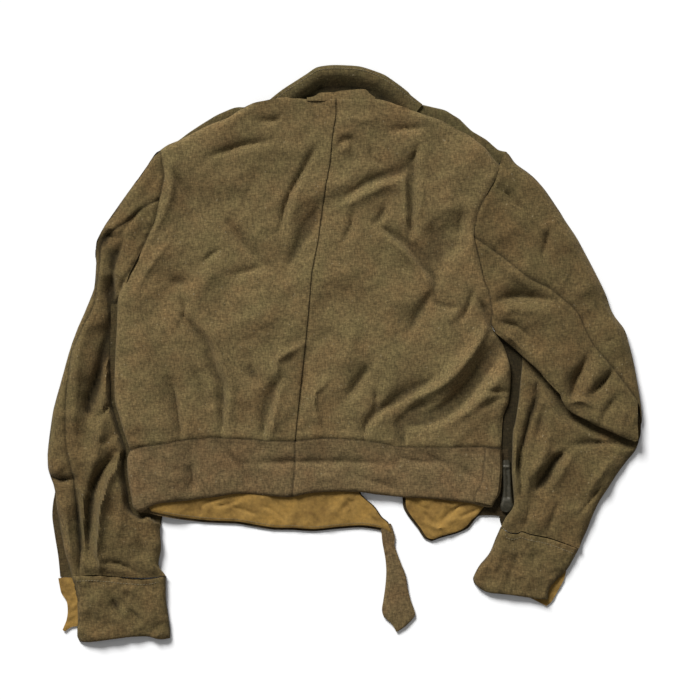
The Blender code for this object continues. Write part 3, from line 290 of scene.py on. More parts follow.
FORE_FOLDS = [
    Fold([(537, 375), (536.4, 397), (530, 416.5), (523.7, 442), (519.6, 455), (518.6, 467.6), (521.6, 483),
          (520.6, 493)], 8, 5, -2.8),
    Fold([(516, 430), (515, 455), (516, 490)], 5, 5, 1.8),
    Fold([(527, 460), (528, 480), (527, 500)], 7, 8, 1.0),
    Fold([(564, 452), (555, 461), (546, 475), (537, 489)], 9, 6, -5.0),
    Fold([(573, 455), (564, 468), (554, 486)], 9, 10, 1.6),
    Fold([(550, 430), (546, 450), (534, 474)], 9, 9, 1.4),
    Fold([(573, 445), (600, 443), (634, 441)], 9, 6, -2.0),
    Fold([(603, 484), (591, 500), (577, 516)], 3, 3, -1.0),
    Fold([(614, 456), (600, 474), (588, 492)], 10, 10, 1.4),
    Fold([(560, 500), (552, 520), (548, 534)], 9, 9, -1.2),
    Fold([(530, 505), (527, 520), (524, 532)], 8, 8, -1.2),
    Fold([(546, 404), (540, 424), (536, 440)], 9, 9, -1.8),
]
CUFF_LEFT_FOLDS = [
    Fold([(111, 594), (116, 606), (122, 618)], 5, 5, -1.2),
    Fold([(127, 607), (134, 613), (142, 621)], 5, 5, -1.1),
    Fold([(100, 590), (96, 620)], 12, 12, 0.8),
    Fold([(150, 592), (154, 625)], 10, 10, 0.7),
]
CUFF_RIGHT_FOLDS = [
    Fold([(520, 548), (512, 570), (506, 590)], 9, 9, -0.9),
    Fold([(540, 556), (536, 580)], 9, 9, 0.8),
    Fold([(500, 552), (494, 574)], 8, 8, 0.7),
]
BELT_FOLDS = [
    Fold([(383, 540), (389, 552), (396, 560)], 5, 5, -1.2),
    Fold([(388, 574), (392, 600), (395, 618)], 6, 6, 0.8),
]
DRILL_FOLDS = [
    Fold([(200, 512), (204, 504), (214, 500), (225, 497)], 3, 4, -0.9),
    Fold([(214, 506), (226, 505), (240, 500)], 3, 3, -0.8),
    Fold([(232, 507), (243, 510), (255, 514)], 3, 3, -0.9),
    Fold([(262, 506), (272, 510), (284, 520)], 4, 3, -0.8),
    Fold([(275, 500), (281, 508), (287, 516)], 3, 4, -0.8),
    Fold([(340, 512), (346, 506), (356, 500)], 4, 3, -1.0),
    Fold([(346, 498), (352, 506), (350, 516)], 3, 3, -0.8),
    Fold([(366, 508), (370, 516), (378, 524)], 4, 4, -0.8),
    Fold([(417, 508), (426, 515), (435, 525)], 3, 4, -0.9),
    Fold([(466, 503), (453, 511), (440, 522)], 3, 3, -1.0),
    Fold([(430, 524), (437, 528), (446, 527)], 4, 4, 0.9),
    Fold([(480, 508), (472, 512), (460, 517)], 4, 3, -0.8),
    Fold([(415, 500), (420, 507), (432, 510)], 4, 4, -0.6),
]


def step(value, start, end):
    """0 at start, 1 at end, with a smooth step between."""
    t = np.clip((value - start) / (end - start), 0, 1)
    return t * t * (3 - 2 * t)


def to_mm(points):
    """Plan units to millimetres across the jacket and up it."""
    return (np.asarray(points, float) - CENTRE) * (UNIT, -UNIT)


def smooth(points, count, share=None):
    """Points along a smooth curve through these, in millimetres, evenly spaced or at shares."""
    points = to_mm(points)
    if len(points) > 2:
        slopes = np.gradient(points, axis=0)
    else:
        slopes = np.diff(points, axis=0).repeat(2, 0)
    reach = np.linalg.norm(np.diff(points, axis=0), axis=1)
    most = np.minimum(np.append(reach, reach[-1]), np.insert(reach, 0, reach[0]))
    size = np.linalg.norm(slopes, axis=1)
    slopes *= np.minimum(1, most / np.maximum(size, 1e-9))[:, None]
    at = np.linspace(0, len(points) - 1, 16 * len(points))
    first = np.clip(at.astype(int), 0, len(points) - 2)
    t = (at - first)[:, None]
    fine = ((2 * t**3 - 3 * t**2 + 1) * points[first] + (t**3 - 2 * t**2 + t) * slopes[first]
            + (3 * t**2 - 2 * t**3) * points[first + 1] + (t**3 - t**2) * slopes[first + 1])
    length = np.append(0, np.cumsum(np.linalg.norm(np.diff(fine, axis=0), axis=1)))
    share = np.linspace(0, 1, count) if share is None else share
    return np.stack([np.interp(share * length[-1], length, fine[:, k]) for k in range(2)], axis=1)


def shares(length, pitch):
    """Shares from 0 to 1 at this pitch, closer together near both ends."""
    inner = np.linspace(0, 1, max(int(length / pitch), 4) + 1)
    close = np.array([0.5, 1.1, 1.9]) / length
    close = close[close < 0.45 * inner[1]]
    return np.concatenate([[0], close, inner[1:-1], 1 - close[::-1], [1]])


def length_of(points):
    return float(np.linalg.norm(np.diff(to_mm(points), axis=0), axis=1).sum())


def patch(top, bottom, left, right, pitch=2.6):
    """A grid inside four curves: top and bottom run across, left and right run down."""
    u = shares((length_of(top) + length_of(bottom)) / 2, pitch)
    v = shares((length_of(left) + length_of(right)) / 2, pitch)
    top, bottom = smooth(top, 0, u), smooth(bottom, 0, u)
    left, right = smooth(left, 0, v), smooth(right, 0, v)
    left = left + (1 - v)[:, None] ** 8 * (top[0] - left[0]) + v[:, None] ** 8 * (bottom[0] - left[-1])
    right = right + (1 - v)[:, None] ** 8 * (top[-1] - right[0]) + v[:, None] ** 8 * (bottom[-1] - right[-1])
    u, v = u[None, :, None], v[:, None, None]
    across = (1 - u) * left[:, None] + u * right[:, None]
    down = (1 - v) * top[None] + v * bottom[None]
    corners = (1 - v) * ((1 - u) * top[0] + u * top[-1]) + v * ((1 - u) * bottom[0] + u * bottom[-1])
    return across + down - corners


def nearest(line, points):
    """Distance from each point to a line of points, the share along it and the side."""
    flat = points.reshape(-1, 2)
    best = np.full(len(flat), 1e9)
    along = np.zeros(len(flat))
    side = np.ones(len(flat))
    for k, (a, b) in enumerate(zip(line[:-1], line[1:])):
        way = b - a
        t = np.clip(((flat - a) @ way) / (way @ way), 0, 1)
        off = flat - a - t[:, None] * way
        distance = np.hypot(off[:, 0], off[:, 1])
        closer = distance < best
        best = np.where(closer, distance, best)
        along = np.where(closer, (k + t) / (len(line) - 1), along)
        side = np.where(closer, np.sign(way[0] * off[:, 1] - way[1] * off[:, 0]), side)
    shape = points.shape[:-1]
    return best.reshape(shape), along.reshape(shape), side.reshape(shape)


def folds(rows, points):
    """Height that the folds add or take, fading out towards each fold's ends."""
    total = np.zeros(points.shape[:-1])
    for row in rows:
        line = smooth(row.path, 4 * len(row.path))
        distance, along, side = nearest(line, points)
        width = np.where(side > 0, row.left, row.right)
        fade = np.sqrt(np.clip(np.sin(np.pi * np.clip(along, 0.03, 0.97)), 0, 1))
        size = DEPTH * row.height * min(1, length_of(row.path) / 26)
        total += size * fade * np.exp(-1.5 * (np.hypot(distance / (0.78 * width), 0.2) - 0.2))
    return total


def above(height, least):
    """Height kept above the layer underneath, with a soft turn instead of a sharp one."""
    return least + np.logaddexp(0, (height - least) * 1.4) / 1.4


def below(height, most):
    """Height kept under a ceiling, with a soft turn instead of a sharp one."""
    return most - np.logaddexp(0, (most - height) * 0.6) / 0.6


def uneven(points, seed, size, height, count=14):
    """Slow, irregular unevenness from waves in many directions, the same on each run."""
    rng = np.random.default_rng(seed)
    total = np.zeros(points.shape[:-1])
    for _ in range(count):
        angle = rng.uniform(0, 2 * np.pi)
        wave = size * rng.uniform(0.6, 1.7)
        way = 2 * np.pi / wave * np.array([np.cos(angle), np.sin(angle)])
        total += np.sin(points @ way + rng.uniform(0, 2 * np.pi) + 0.8 * np.sin(points @ way[::-1] * 0.6))
    return height * total / math.sqrt(count / 2)


def crumple(points, seed, size, height):
    """Small irregular wrinkles: soft ridges and creases where slow waves change sign."""
    first = uneven(points, seed, size, 1.0, 9)
    second = uneven(points, seed + 100, size * 1.3, 1.0, 9)
    return height * (0.8 - np.hypot(first, 0.16) + 0.6 * (0.8 - np.hypot(second, 0.2)))


def drop(points, line, depth, width):
    """How far cloth turns down towards an edge, round like the side of a roll."""
    distance, _, _ = nearest(smooth(line, 40), points)
    t = np.clip(1 - distance / width, 0, 1)
    return depth * (1 - np.sqrt(np.clip(1 - t**2, 0, 1)))


def seam(points, line, depth=1.1, width=2.6):
    """A sewn seam: a narrow groove with a soft rise beside it."""
    distance, _, _ = nearest(smooth(line, 50), points)
    return -depth * np.exp(-((distance / width) ** 2)) + 0.35 * np.exp(-(((distance - 6) / 4) ** 2))


def mesh_object(name, vertices, faces, material):
    mesh = bpy.data.meshes.new(name)
    mesh.from_pydata((np.asarray(vertices) / 1000).tolist(), [], faces)
    mesh.validate()
    mesh.shade_smooth()
    mesh.set_sharp_from_angle(angle=1.0)
    mesh.materials.append(material)
    thing = bpy.data.objects.new(name, mesh)
    bpy.context.scene.collection.objects.link(thing)
    return thing


def painted_shade_tone(points, height):
    """Painted shade: darker in deep creases, the lower the cloth lies, and along sewn lines, with a painted
    highlight beside them.
    """
    tone = 0.22 + 0.78 * step(height, 1.0, 8.2)
    for line in SEWN_LINES:
        distance, _, _ = nearest(smooth(line, 50), points)
        # painted shade along the sewn line, and a faint painted highlight a few millimetres beside it
        tone *= 1 - 0.52 * np.exp(-((distance / 1.1) ** 2))
        tone *= 1 + 0.10 * np.exp(-(((distance - 4.2) / 2.0) ** 2))
    return tone


def shell(name, points, height, thickness, material, painted_shade_lift=0.0):
    """Cloth between a grid of top points and the same grid one thickness in, and its cut in m."""
    top = np.concatenate([points, height[..., None]], axis=-1)
    normal = np.cross(np.gradient(top, axis=0), np.gradient(top, axis=1))
    normal /= np.linalg.norm(normal, axis=-1, keepdims=True)
    if normal[..., 2].mean() < 0:
        top = top[:, ::-1]
        normal = -normal[:, ::-1]
    lean = np.clip(np.linalg.norm(normal[..., :2], axis=-1, keepdims=True), 1e-9, None)
    keep = np.minimum(1, 0.35 / lean)
    keep[[0, -1]] = 0
    keep[:, [0, -1]] = 0
    inward = np.concatenate([normal[..., :2] * keep, np.ones_like(normal[..., 2:])], axis=-1)
    under = top - thickness * inward
    under[..., 2] = np.maximum(under[..., 2], 0.0)
    rows, columns = top.shape[:2]
    count = rows * columns
    index = np.arange(count).reshape(rows, columns)
    a, b, c, d = index[:-1, :-1], index[1:, :-1], index[1:, 1:], index[:-1, 1:]
    faces = [np.stack([a, b, c, d], -1).reshape(-1, 4), count + np.stack([a, d, c, b], -1).reshape(-1, 4)]
    border = np.concatenate([index[0, :-1], index[:-1, -1], index[-1, :0:-1], index[:0:-1, 0]])
    after = np.roll(border, -1)
    faces.append(np.stack([border, after, count + after, count + border], -1))
    vertices = np.concatenate([top.reshape(-1, 3), under.reshape(-1, 3)])
    thing = mesh_object(name, vertices, np.concatenate(faces).tolist(), material)
    if material is not drill and material is not paint:
        # painted shade: the tone attribute darkens the cloth in low creases and along seams; the lift added
        # to the height lessens it
        tone = thing.data.attributes.new("tone", "FLOAT", "POINT")
        level = painted_shade_tone(top[..., :2], top[..., 2] + painted_shade_lift).ravel()
        tone.data.foreach_set("value", np.concatenate([level, level]).astype(np.float32))
    width = np.linalg.norm(np.diff(top, axis=1), axis=-1).sum(axis=1).max() / 1000
    length = np.linalg.norm(np.diff(top, axis=0), axis=-1).sum(axis=0).max() / 1000
    return thing, (float(width), float(length))


# Materials

def add(tree, kind, **values):
    node = tree.nodes.new(kind)
    for key, value in values.items():
        if key in node.inputs:
            node.inputs[key].default_value = value
        else:
            setattr(node, key, value)
    return node


def put(tree, value, target):
    """Joins a socket to an input, or sets the input to a value."""
    if isinstance(value, bpy.types.NodeSocket):
        tree.links.new(value, target)
    else:
        target.default_value = value


def nodes_for(name):
    """A new material, its tree of nodes, its shader and the place on the object."""
    material = bpy.data.materials.new(name)
    material.use_nodes = True
    tree = material.node_tree
    place = add(tree, "ShaderNodeTexCoord").outputs["Object"]
    return material, tree, tree.nodes["Principled BSDF"], place


def noise(tree, place, scale, detail=3.0, roughness=0.6, stretch=None, turn=0.0):
    source = place
    if stretch is not None:
        mapping = add(tree, "ShaderNodeMapping", Scale=stretch, Rotation=(0, 0, turn))
        tree.links.new(place, mapping.inputs["Vector"])
        source = mapping.outputs["Vector"]
    node = add(tree, "ShaderNodeTexNoise", Scale=scale, Detail=detail, Roughness=roughness)
    tree.links.new(source, node.inputs["Vector"])
    return node.outputs["Fac"]


def ramp(tree, value, stops):
    node = add(tree, "ShaderNodeValToRGB")
    elements = node.color_ramp.elements
    while len(elements) < len(stops):
        elements.new(0.5)
    for element, (place, colour) in zip(elements, stops):
        element.position = place
        element.color = (*colour, 1)
    tree.links.new(value, node.inputs["Fac"])
    return node.outputs["Color"]


def mix(tree, kind, factor, a, b):
    node = add(tree, "ShaderNodeMix", data_type="RGBA", blend_type=kind)
    first, second = [socket for socket in node.inputs if socket.type == "RGBA"]
    put(tree, factor, node.inputs[0])
    put(tree, a if isinstance(a, bpy.types.NodeSocket) else (*a, 1), first)
    put(tree, b if isinstance(b, bpy.types.NodeSocket) else (*b, 1), second)
    return [socket for socket in node.outputs if socket.type == "RGBA"][0]


def times(tree, a, b):
    return mix(tree, "MULTIPLY", 1.0, a, b)


def grey(level):
    return (level,) * 3


def bump(tree, height, strength, distance, under=None):
    """A bumped normal, laid on the normal under it."""
    node = add(tree, "ShaderNodeBump", Strength=strength, Distance=distance)
    tree.links.new(height, node.inputs["Height"])
    if under is not None:
        tree.links.new(under, node.inputs["Normal"])
    return node.outputs["Normal"]


def set_inputs(tree, shader, inputs):
    for name, value in inputs.items():
        put(tree, value, shader.inputs[name])


def wool_material(name, colour):
    """Heathered, felted wool: mixed fibres, faint warm and green patches, pale specks and nap, with painted
    shade in deep creases and along seams.
    """
    material, tree, shader, place = nodes_for(name)
    fibre_a = noise(tree, place, 520, 3, 0.65, (1.0, 0.32, 1.0), 0.7)
    fibre_b = noise(tree, place, 560, 3, 0.65, (0.3, 1.0, 1.0), -0.5)
    stops = [(0.33, grey(0.68)), (0.5, grey(1)), (0.68, grey(1.36))]
    fibres = times(tree, ramp(tree, fibre_a, stops), ramp(tree, fibre_b, stops))
    grain = ramp(tree, noise(tree, place, 900, 2, 0.6), [(0.3, grey(0.86)), (0.7, grey(1.14))])
    patches = ramp(tree, noise(tree, place, 26, 4, 0.6),
                   [(0.34, (1.06, 0.975, 0.96)), (0.5, grey(1)), (0.66, (0.96, 1.02, 1.0))])
    broad = ramp(tree, noise(tree, place, 7, 3, 0.5), [(0.3, grey(0.94)), (0.7, grey(1.05))])
    base = times(tree, times(tree, colour, times(tree, fibres, grain)), times(tree, patches, broad))
    specks = ramp(tree, noise(tree, place, 260, 1, 0.5), [(0.735, grey(0)), (0.77, grey(0.5))])
    base = mix(tree, "MIX", specks, base, (0.24, 0.19, 0.11))
    # painted shade: the colour is multiplied by the tone attribute, dark in deep creases and along seams
    tone = add(tree, "ShaderNodeAttribute", attribute_name="tone").outputs["Fac"]
    base = times(tree, base, ramp(tree, tone, [(0, grey(0)), (1, grey(1))]))
    nap = bump(tree, noise(tree, place, 75, 3, 0.55), 0.25, 0.0025)
    nap = bump(tree, mix(tree, "ADD", 0.5, fibre_a, fibre_b), 0.55, 0.0007, nap)
    set_inputs(tree, shader, {
        "Base Color": base, "Normal": nap, "Roughness": 0.95, "Specular IOR Level": 0.12,
        "Sheen Weight": 0.12, "Sheen Roughness": 0.6, "Sheen Tint": (0.55, 0.46, 0.3, 1),
    })
    return material


def drill_material(name, colour):
    """Tan cotton drill: a fine diagonal twill, faint stains and soft creases."""
    material, tree, shader, place = nodes_for(name)
    mapping = add(tree, "ShaderNodeMapping", Rotation=(0, 0, 0.95))
    tree.links.new(place, mapping.inputs["Vector"])
    twill = add(tree, "ShaderNodeTexWave", wave_type="BANDS", Scale=420, Distortion=1.2, Detail=2.0)
    tree.links.new(mapping.outputs["Vector"], twill.inputs["Vector"])
    weave = ramp(tree, twill.outputs["Fac"], [(0.1, grey(0.86)), (0.9, grey(1.08))])
    stain = ramp(tree, noise(tree, place, 38, 5, 0.65),
                 [(0.32, (0.66, 0.62, 0.55)), (0.5, grey(1)), (0.68, (1.15, 1.12, 1.05))])
    small = ramp(tree, noise(tree, place, 240, 3, 0.6), [(0.3, grey(0.82)), (0.7, grey(1.16))])
    base = times(tree, times(tree, colour, weave), times(tree, stain, small))
    crease = bump(tree, noise(tree, place, 60, 4, 0.6), 0.6, 0.002)
    crease = bump(tree, twill.outputs["Fac"], 0.4, 0.0003, crease)
    set_inputs(tree, shader, {
        "Base Color": base, "Normal": crease, "Roughness": 0.82, "Specular IOR Level": 0.25,
        "Sheen Weight": 0.05,
    })
    return material


def paint_material(name):
    """Dark grey-green paint on metal, worn lighter in small places."""
    material, tree, shader, place = nodes_for(name)
    worn = ramp(tree, noise(tree, place, 320, 5, 0.7),
                [(0.45, (0.028, 0.025, 0.014)), (0.62, (0.045, 0.038, 0.022)), (0.74, (0.11, 0.10, 0.07))])
    rough = ramp(tree, noise(tree, place, 150, 3, 0.6), [(0.3, grey(0.42)), (0.7, grey(0.66))])
    dents = bump(tree, noise(tree, place, 500, 3, 0.6), 0.3, 0.0004)
    set_inputs(tree, shader, {"Base Color": worn, "Normal": dents, "Roughness": rough, "Metallic": 0.35})
    return material


def thread_material(name, colour):
    material, tree, shader, place = nodes_for(name)
    dark, light = (tuple(share * level for level in colour) for share in (0.7, 1.25))
    tone = ramp(tree, noise(tree, place, 700, 2, 0.5), [(0.3, dark), (0.7, light)])
    set_inputs(tree, shader, {"Base Color": tone, "Roughness": 0.8})
    return material


wool = wool_material("wool_back", (0.116, 0.082, 0.034))
wool_band = wool_material("wool_band", (0.110, 0.075, 0.033))
wool_sleeve = wool_material("wool_sleeve", (0.090, 0.063, 0.025))
wool_collar = wool_material("wool_collar", (0.072, 0.055, 0.022))
# painted shade: a darker copy of the same wool for the layers underneath, which show only in the shaded gaps
# between pieces
wool_hidden_painted_shade = wool_material("wool_hidden_painted_shade", (0.070, 0.050, 0.020))
drill = drill_material("cotton_drill", (0.240, 0.140, 0.031))
paint = paint_material("buckle_paint")
thread = thread_material("sewing_thread", (0.15, 0.12, 0.066))

# Heights

BODY_EDGE_LEFT = SIDE_LEFT + BAND_END_LEFT[1:]


def over_sleeve(points):
    """Lift of the body where it lies on the left sleeve."""
    distance, _, side = nearest(smooth(LEFT_INNER, 40), points)
    inside = np.where(side > 0, distance, 0)
    return 7.0 * (1 - step(inside, 4, 46)) * step(-points[..., 1], -110, -60)


def over_strap(points):
    """Lift of the shoulders where they lie on the straps."""
    lines = (SHOULDER_LEFT, SHOULDER_RIGHT)
    near = np.minimum(*(nearest(smooth(line, 30), points)[0] for line in lines))
    return 2.4 * (1 - step(near, 22, 70))


def back_height(points):
    height = BACK_TOP + over_sleeve(points) + over_strap(points) + folds(BACK_FOLDS, points)
    height += crumple(points, 4, 110, 2.4) + crumple(points, 5, 46, 0.55)
    height -= drop(points, SIDE_LEFT, 6.0, 9) + drop(points, SIDE_RIGHT, 6.6, 10)
    height -= drop(points, SHOULDER_LEFT[:-1], 6.4, 10) + drop(points, SHOULDER_RIGHT, 6.0, 9)
    height -= drop(points, NECK_LEFT[1:] + NECK_RIGHT[1:-1], 2.4, 5)
    height += seam(points, ARMHOLE_LEFT, 1.6) + seam(points, ARMHOLE_RIGHT, 1.8)
    height += seam(points, WAIST_LEFT + WAIST_RIGHT[1:], 1.5, 2.4)
    distance, _, side = nearest(smooth(CENTRE_SEAM, 60), points)
    height += np.where(side > 0, -1.0, -0.1) * np.exp(-((distance / 3.0) ** 2))
    height += np.where(side > 0, 0.0, 0.5) * np.exp(-((distance / 8) ** 2))
    return below(above(height, 4.4), CEILING)


def band_height(points):
    height = BAND_TOP + 0.9 * over_sleeve(points) + folds(BAND_FOLDS, points)
    height += crumple(points, 8, 80, 1.1) + crumple(points, 9, 34, 0.4)
    height -= drop(points, HEM_LEFT, 4.0, 6) + drop(points, HEM_RIGHT, 4.0, 6)
    height -= drop(points, BAND_END_LEFT, 6.0, 8) + drop(points, BAND_END_RIGHT, 4.4, 6)
    height += seam(points, BAND_SEAM, 1.1, 2.2)
    distance, _, _ = nearest(smooth(WAIST_LEFT + WAIST_RIGHT[1:], 60), points)
    return above(height + 0.7 * np.exp(-(((distance - 1.6) / 2.2) ** 2)), 4.6)


def left_height(points):
    edge, _, side = nearest(smooth(BODY_EDGE_LEFT, 50), points)
    outside = np.where(side < 0, edge, 0)
    below_armhole = step(-points[..., 1], -100, -60)
    height = SLEEVE_TOP + folds(LEFT_FOLDS, points)
    height += crumple(points, 11, 90, 2.0) + crumple(points, 12, 38, 0.6)
    height -= drop(points, LEFT_OUTER, 9.6, 12) + drop(points, LEFT_INNER[7:], 7.0, 10)
    height += seam(points, ARMHOLE_LEFT, 1.6) + seam(points, LEFT_SEAM, 1.4, 2.4)
    height = 8.6 + (height - 8.6) * step(nearest(smooth(LEFT_CUFF_LINE, 30), points)[0], -2, 14)
    height = above(height, 2.4)
    higher_up = step(points[..., 1], -60, 60)
    groove = 1.4 + 26 * step(outside, 4.5 + 3.5 * higher_up, 16 + 5 * higher_up)
    return np.minimum(height, np.where(side < 0, groove, 1.4) + 30 * (1 - below_armhole))


def upper_height(points):
    edge, _, _ = nearest(smooth(RIGHT_LAP_NEAR[1:] + RIGHT_LAP_FAR[1:], 50), points)
    near, _, _ = nearest(smooth(ARMHOLE_RIGHT, 40), points)
    height = UPPER_ARM_TOP + 5.0 * step(near, 6, 70) * step(points[..., 1], 190, 60)
    height += folds(RIGHT_FOLDS, points) + crumple(points, 15, 100, 2.2) + crumple(points, 16, 40, 0.6)
    height -= drop(points, RIGHT_OUTER, 12.0, 14)
    t = np.clip(1 - edge / 7, 0, 1)
    height -= 3.4 * (1 - np.sqrt(1 - t**2))
    height += seam(points, ARMHOLE_RIGHT, 1.8) + seam(points, RIGHT_SEAM, 1.5, 2.4)
    return below(above(height, 2.6), CEILING)


def fore_height(points):
    height = FOREARM_TOP + folds(FORE_FOLDS, points)
    height += crumple(points, 19, 80, 2.0) + crumple(points, 20, 36, 0.6)
    height -= drop(points, FORE_LEFT, 7.4, 9) + drop(points, FORE_RIGHT, 8.4, 11)
    apart, _, side = nearest(smooth(RIGHT_LAP_NEAR + RIGHT_LAP_FAR[1:], 50), points)
    height = 8.8 + (height - 8.8) * step(nearest(smooth(RIGHT_CUFF_LINE, 30), points)[0], -2, 14)
    height = above(height, 2.6)
    return np.minimum(height, 4.2 + 14 * (side <= 0) * step(apart, 2, 30))


# Pieces

def cloth(name, points, height, material, nodes=(), thickness=WOOL, painted_shade_lift=0.0):
    """A sheet on the jacket in its finish, attached to the root, with the nodes it stands for hidden; its
    area comes from its cut.
    """
    thing, (width, length) = shell(name, points, height, thickness, material, painted_shade_lift)
    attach(thing, "root")
    if nodes:
        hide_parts(*nodes)
    area = sum(face.area for face in thing.data.polygons) / 2
    area = float(np.clip(area, 0.31 * width * length, width * length))


def strip(outer, inner, pitch):
    """A grid between two long edges whose ends are straight."""
    return patch(outer, inner, [outer[0], inner[0]], [outer[-1], inner[-1]], pitch)


def flat_on_floor(grid):
    return np.full(grid.shape[:2], WOOL)


def add_body():
    grid = patch(SHOULDER_LEFT + NECK_LEFT[1:], WAIST_LEFT, ARMHOLE_LEFT + SIDE_LEFT[1:], CENTRE_SEAM)
    cloth("back_panel_left", grid, back_height(grid), wool, ["back_left"])
    grid = patch(NECK_RIGHT + SHOULDER_RIGHT[1:], WAIST_RIGHT, CENTRE_SEAM, ARMHOLE_RIGHT + SIDE_RIGHT[1:])
    cloth("back_panel_right", grid, back_height(grid), wool, ["back_right"])
    grid = patch(WAIST_LEFT, HEM_LEFT, BAND_END_LEFT, BAND_SEAM, 2.2)
    cloth("band_back_left", grid, band_height(grid), wool_band, ["waistband_back_left"])
    grid = patch(WAIST_RIGHT, HEM_RIGHT, BAND_SEAM, BAND_END_RIGHT, 2.2)
    cloth("band_back_right", grid, band_height(grid), wool_band,
          ["waistband_back_right"])


def add_fronts():
    side = [(x + 3.5, y) for x, y in (ARMHOLE_LEFT + SIDE_LEFT[1:])]
    top = [(166, 156), (200, 136), (240, 118), (268, 104), (290, 120), (320, 132), (346, 136)]
    foot = [(134, 449.5), (180, 441), (250, 440), (300, 441), (356, 441)]
    grid = patch(top, foot, side, [(346, 136), (351, 270), (356, 441)], 5)
    height = WOOL + over_sleeve(grid) + 0.3 * over_strap(grid) + 0.2 * uneven(grid, 31, 60, 1.0)
    height = np.maximum(height, WOOL)
    cloth("front_panel_left", grid, height, wool_hidden_painted_shade, ["front_left"])
    side = [(x - 3.5, y) for x, y in ARMHOLE_RIGHT[1:]]
    side += [(494, 352), (498, 370), (498, 395), (495, 418), (492, 448)]
    top = [(354, 136), (376, 130), (398, 119), (412, 112), (440, 124), (466, 138), (489, 180)]
    foot = [(389, 441), (430, 447), (470, 448), (492, 448)]
    grid = patch(top, foot, [(354, 136), (359, 270), (389, 441)], side, 5)
    height = WOOL + 0.3 * over_strap(grid) + 0.2 * uneven(grid, 32, 60, 1.0)
    cloth("front_panel_right", grid, np.maximum(height, WOOL), wool_hidden_painted_shade, ["front_right"])


def add_front_bands():
    top = [(130.5, 450.4), (215, 441), (260, 442), (295, 442), (340, 442), (356, 442)]
    start = [(130.5, 450.4), (128.5, 478), (132, 499), (137, 512)]
    band = patch(top, FRONT_BOTTOM_LEFT, start, [(356, 442)] + FRONT_END_LEFT[1:], 2.6)
    height = over_sleeve(band) * 0.9 + WOOL + 0.1 + np.maximum(0, 0.2 * folds(DRILL_FOLDS, band))
    cloth("band_front_left", band, height, wool_band, ["waistband_front_left"])
    foot = [(x + 1.2, y - 2.2) for x, y in FRONT_BOTTOM_LEFT[1:-1]] + [(391.5, 533)]
    end = [(354, 446)] + [(x - 1.4, y) for x, y in FRONT_END_LEFT[1:-1]] + [(391.5, 533)]
    tan = patch([(136, 456), (215, 446), (260, 446), (295, 446), (354, 446)], foot,
                [(136, 456), (138, 480), (151, 511)], end, 2.0)
    shown = step(-tan[..., 1], 164, 180)
    under = over_sleeve(tan) * 0.9
    height = under + 3.6 + shown * (2.0 + folds(DRILL_FOLDS, tan) + crumple(tan, 41, 40, 0.9))
    height = above(height - drop(tan, foot, 2.0, 6), under + WOOL + 1.2)
    cloth("facing_left", tan, height, drill, ["band_lining_left"], thickness=DRILL)
    stitches("facing_left_stitches", [(x, y - 2.4) for x, y in foot[1:-1]], tan, height, 3.0, 0.3)

    top = [(389, 442), (430, 448), (470, 449), (508, 449)]
    end = [(508, 449), (508.5, 480), (505, 517)]
    band = patch(top, FRONT_BOTTOM_RIGHT, [(389, 442)] + FRONT_END_RIGHT[1:], end, 2.6)
    height = WOOL + 0.1 + 0.1 * uneven(band, 42, 30, 1.0)
    cloth("band_front_right", band, height, wool_band, ["waistband_front_right"])
    start = [(391, 446)] + [(x + 2.8, y - 0.6) for x, y in FRONT_END_RIGHT[1:-1]] + [(433.6, 539.4)]
    foot = [(433.6, 539.4), (441, 536.4), (457, 531.8), (466, 527), (472, 520), (477, 515.8), (484, 507)]
    tan = patch([(391, 446), (430, 450), (484, 450)], foot, start, [(484, 450), (484, 480), (484, 507)], 2.0)
    shown = step(-tan[..., 1], 168, 184)
    height = 3.6 + shown * (2.0 + folds(DRILL_FOLDS, tan) + crumple(tan, 43, 36, 0.9))
    height = above(height - drop(tan, foot, 2.0, 6), WOOL + 1.2)
    cloth("facing_right", tan, height, drill, ["band_lining_right"], thickness=DRILL)


def add_collar():
    fall = strip(COLLAR_OUTER, COLLAR_INNER, 2.0)
    edge, _, _ = nearest(smooth(COLLAR_OUTER, 60), fall)
    middle = 1 - step(np.abs(fall[..., 0] - 2), 46, 90)
    roll = np.interp(edge, [0, 1.5, 4, 8, 14, 19, 23, 60], [0.62, 0.86, 0.98, 1.0, 0.9, 0.5, 0.05, 0.0])
    height = COLLAR + (4.0 + 9.0 * middle) * roll + 2.6 * (1 - middle) * (1 - step(edge, 16, 30))
    for width in (5.0, 7.6):
        height -= 0.5 * np.exp(-(((edge - width) / 1.1) ** 2))
    height += uneven(fall, 51, 30, 0.25) * step(edge, 1, 6)
    height = np.maximum(height, COLLAR)
    cloth("collar_fall", fall, height, wool_collar, ["collar"], thickness=COLLAR)
    row = [(274, 101), (286, 91.5), (298, 84), (310, 76), (318, 71), (334, 69), (346, 69.3), (361, 70.6),
           (377, 76), (397, 88), (408, 97), (417, 103.4)]
    stitches("collar_stitches", row, fall, height, 3.2, 0.35)
    stand = strip(STAND_TOP, STAND_FOOT, 1.2)
    edge, _, _ = nearest(smooth(STAND_TOP, 30), stand)
    height = 10.0 + 0.9 * np.clip(edge / 3, 0, 1) - 0.35 * np.exp(-(((edge - 2.6) / 0.9) ** 2))
    cloth("collar_neck_strip", stand, height, wool, ["collar_stand"])


def add_straps():
    for side, outer, inner, top in (
        ("left", STRAP_LEFT_OUTER, STRAP_LEFT_INNER, 4.2),
        ("right", STRAP_RIGHT_OUTER, STRAP_RIGHT_INNER, 5.4),
    ):
        strap = strip(outer, inner, 2.4)
        height = top - drop(strap, outer, top - 2.3, 5) + uneven(strap, 61, 24, 0.2)
        height = np.minimum(height, top) - 2.6 * step(nearest(smooth(outer, 40), strap)[0], 8, 24)
        # the straps get less painted shade: the height it is worked from is lifted by 3.4 mm
        cloth(f"shoulder_strap_piece_{side}", strap, np.maximum(height, WOOL), wool_collar,
              [f"shoulder_strap_{side}"], painted_shade_lift=3.4)


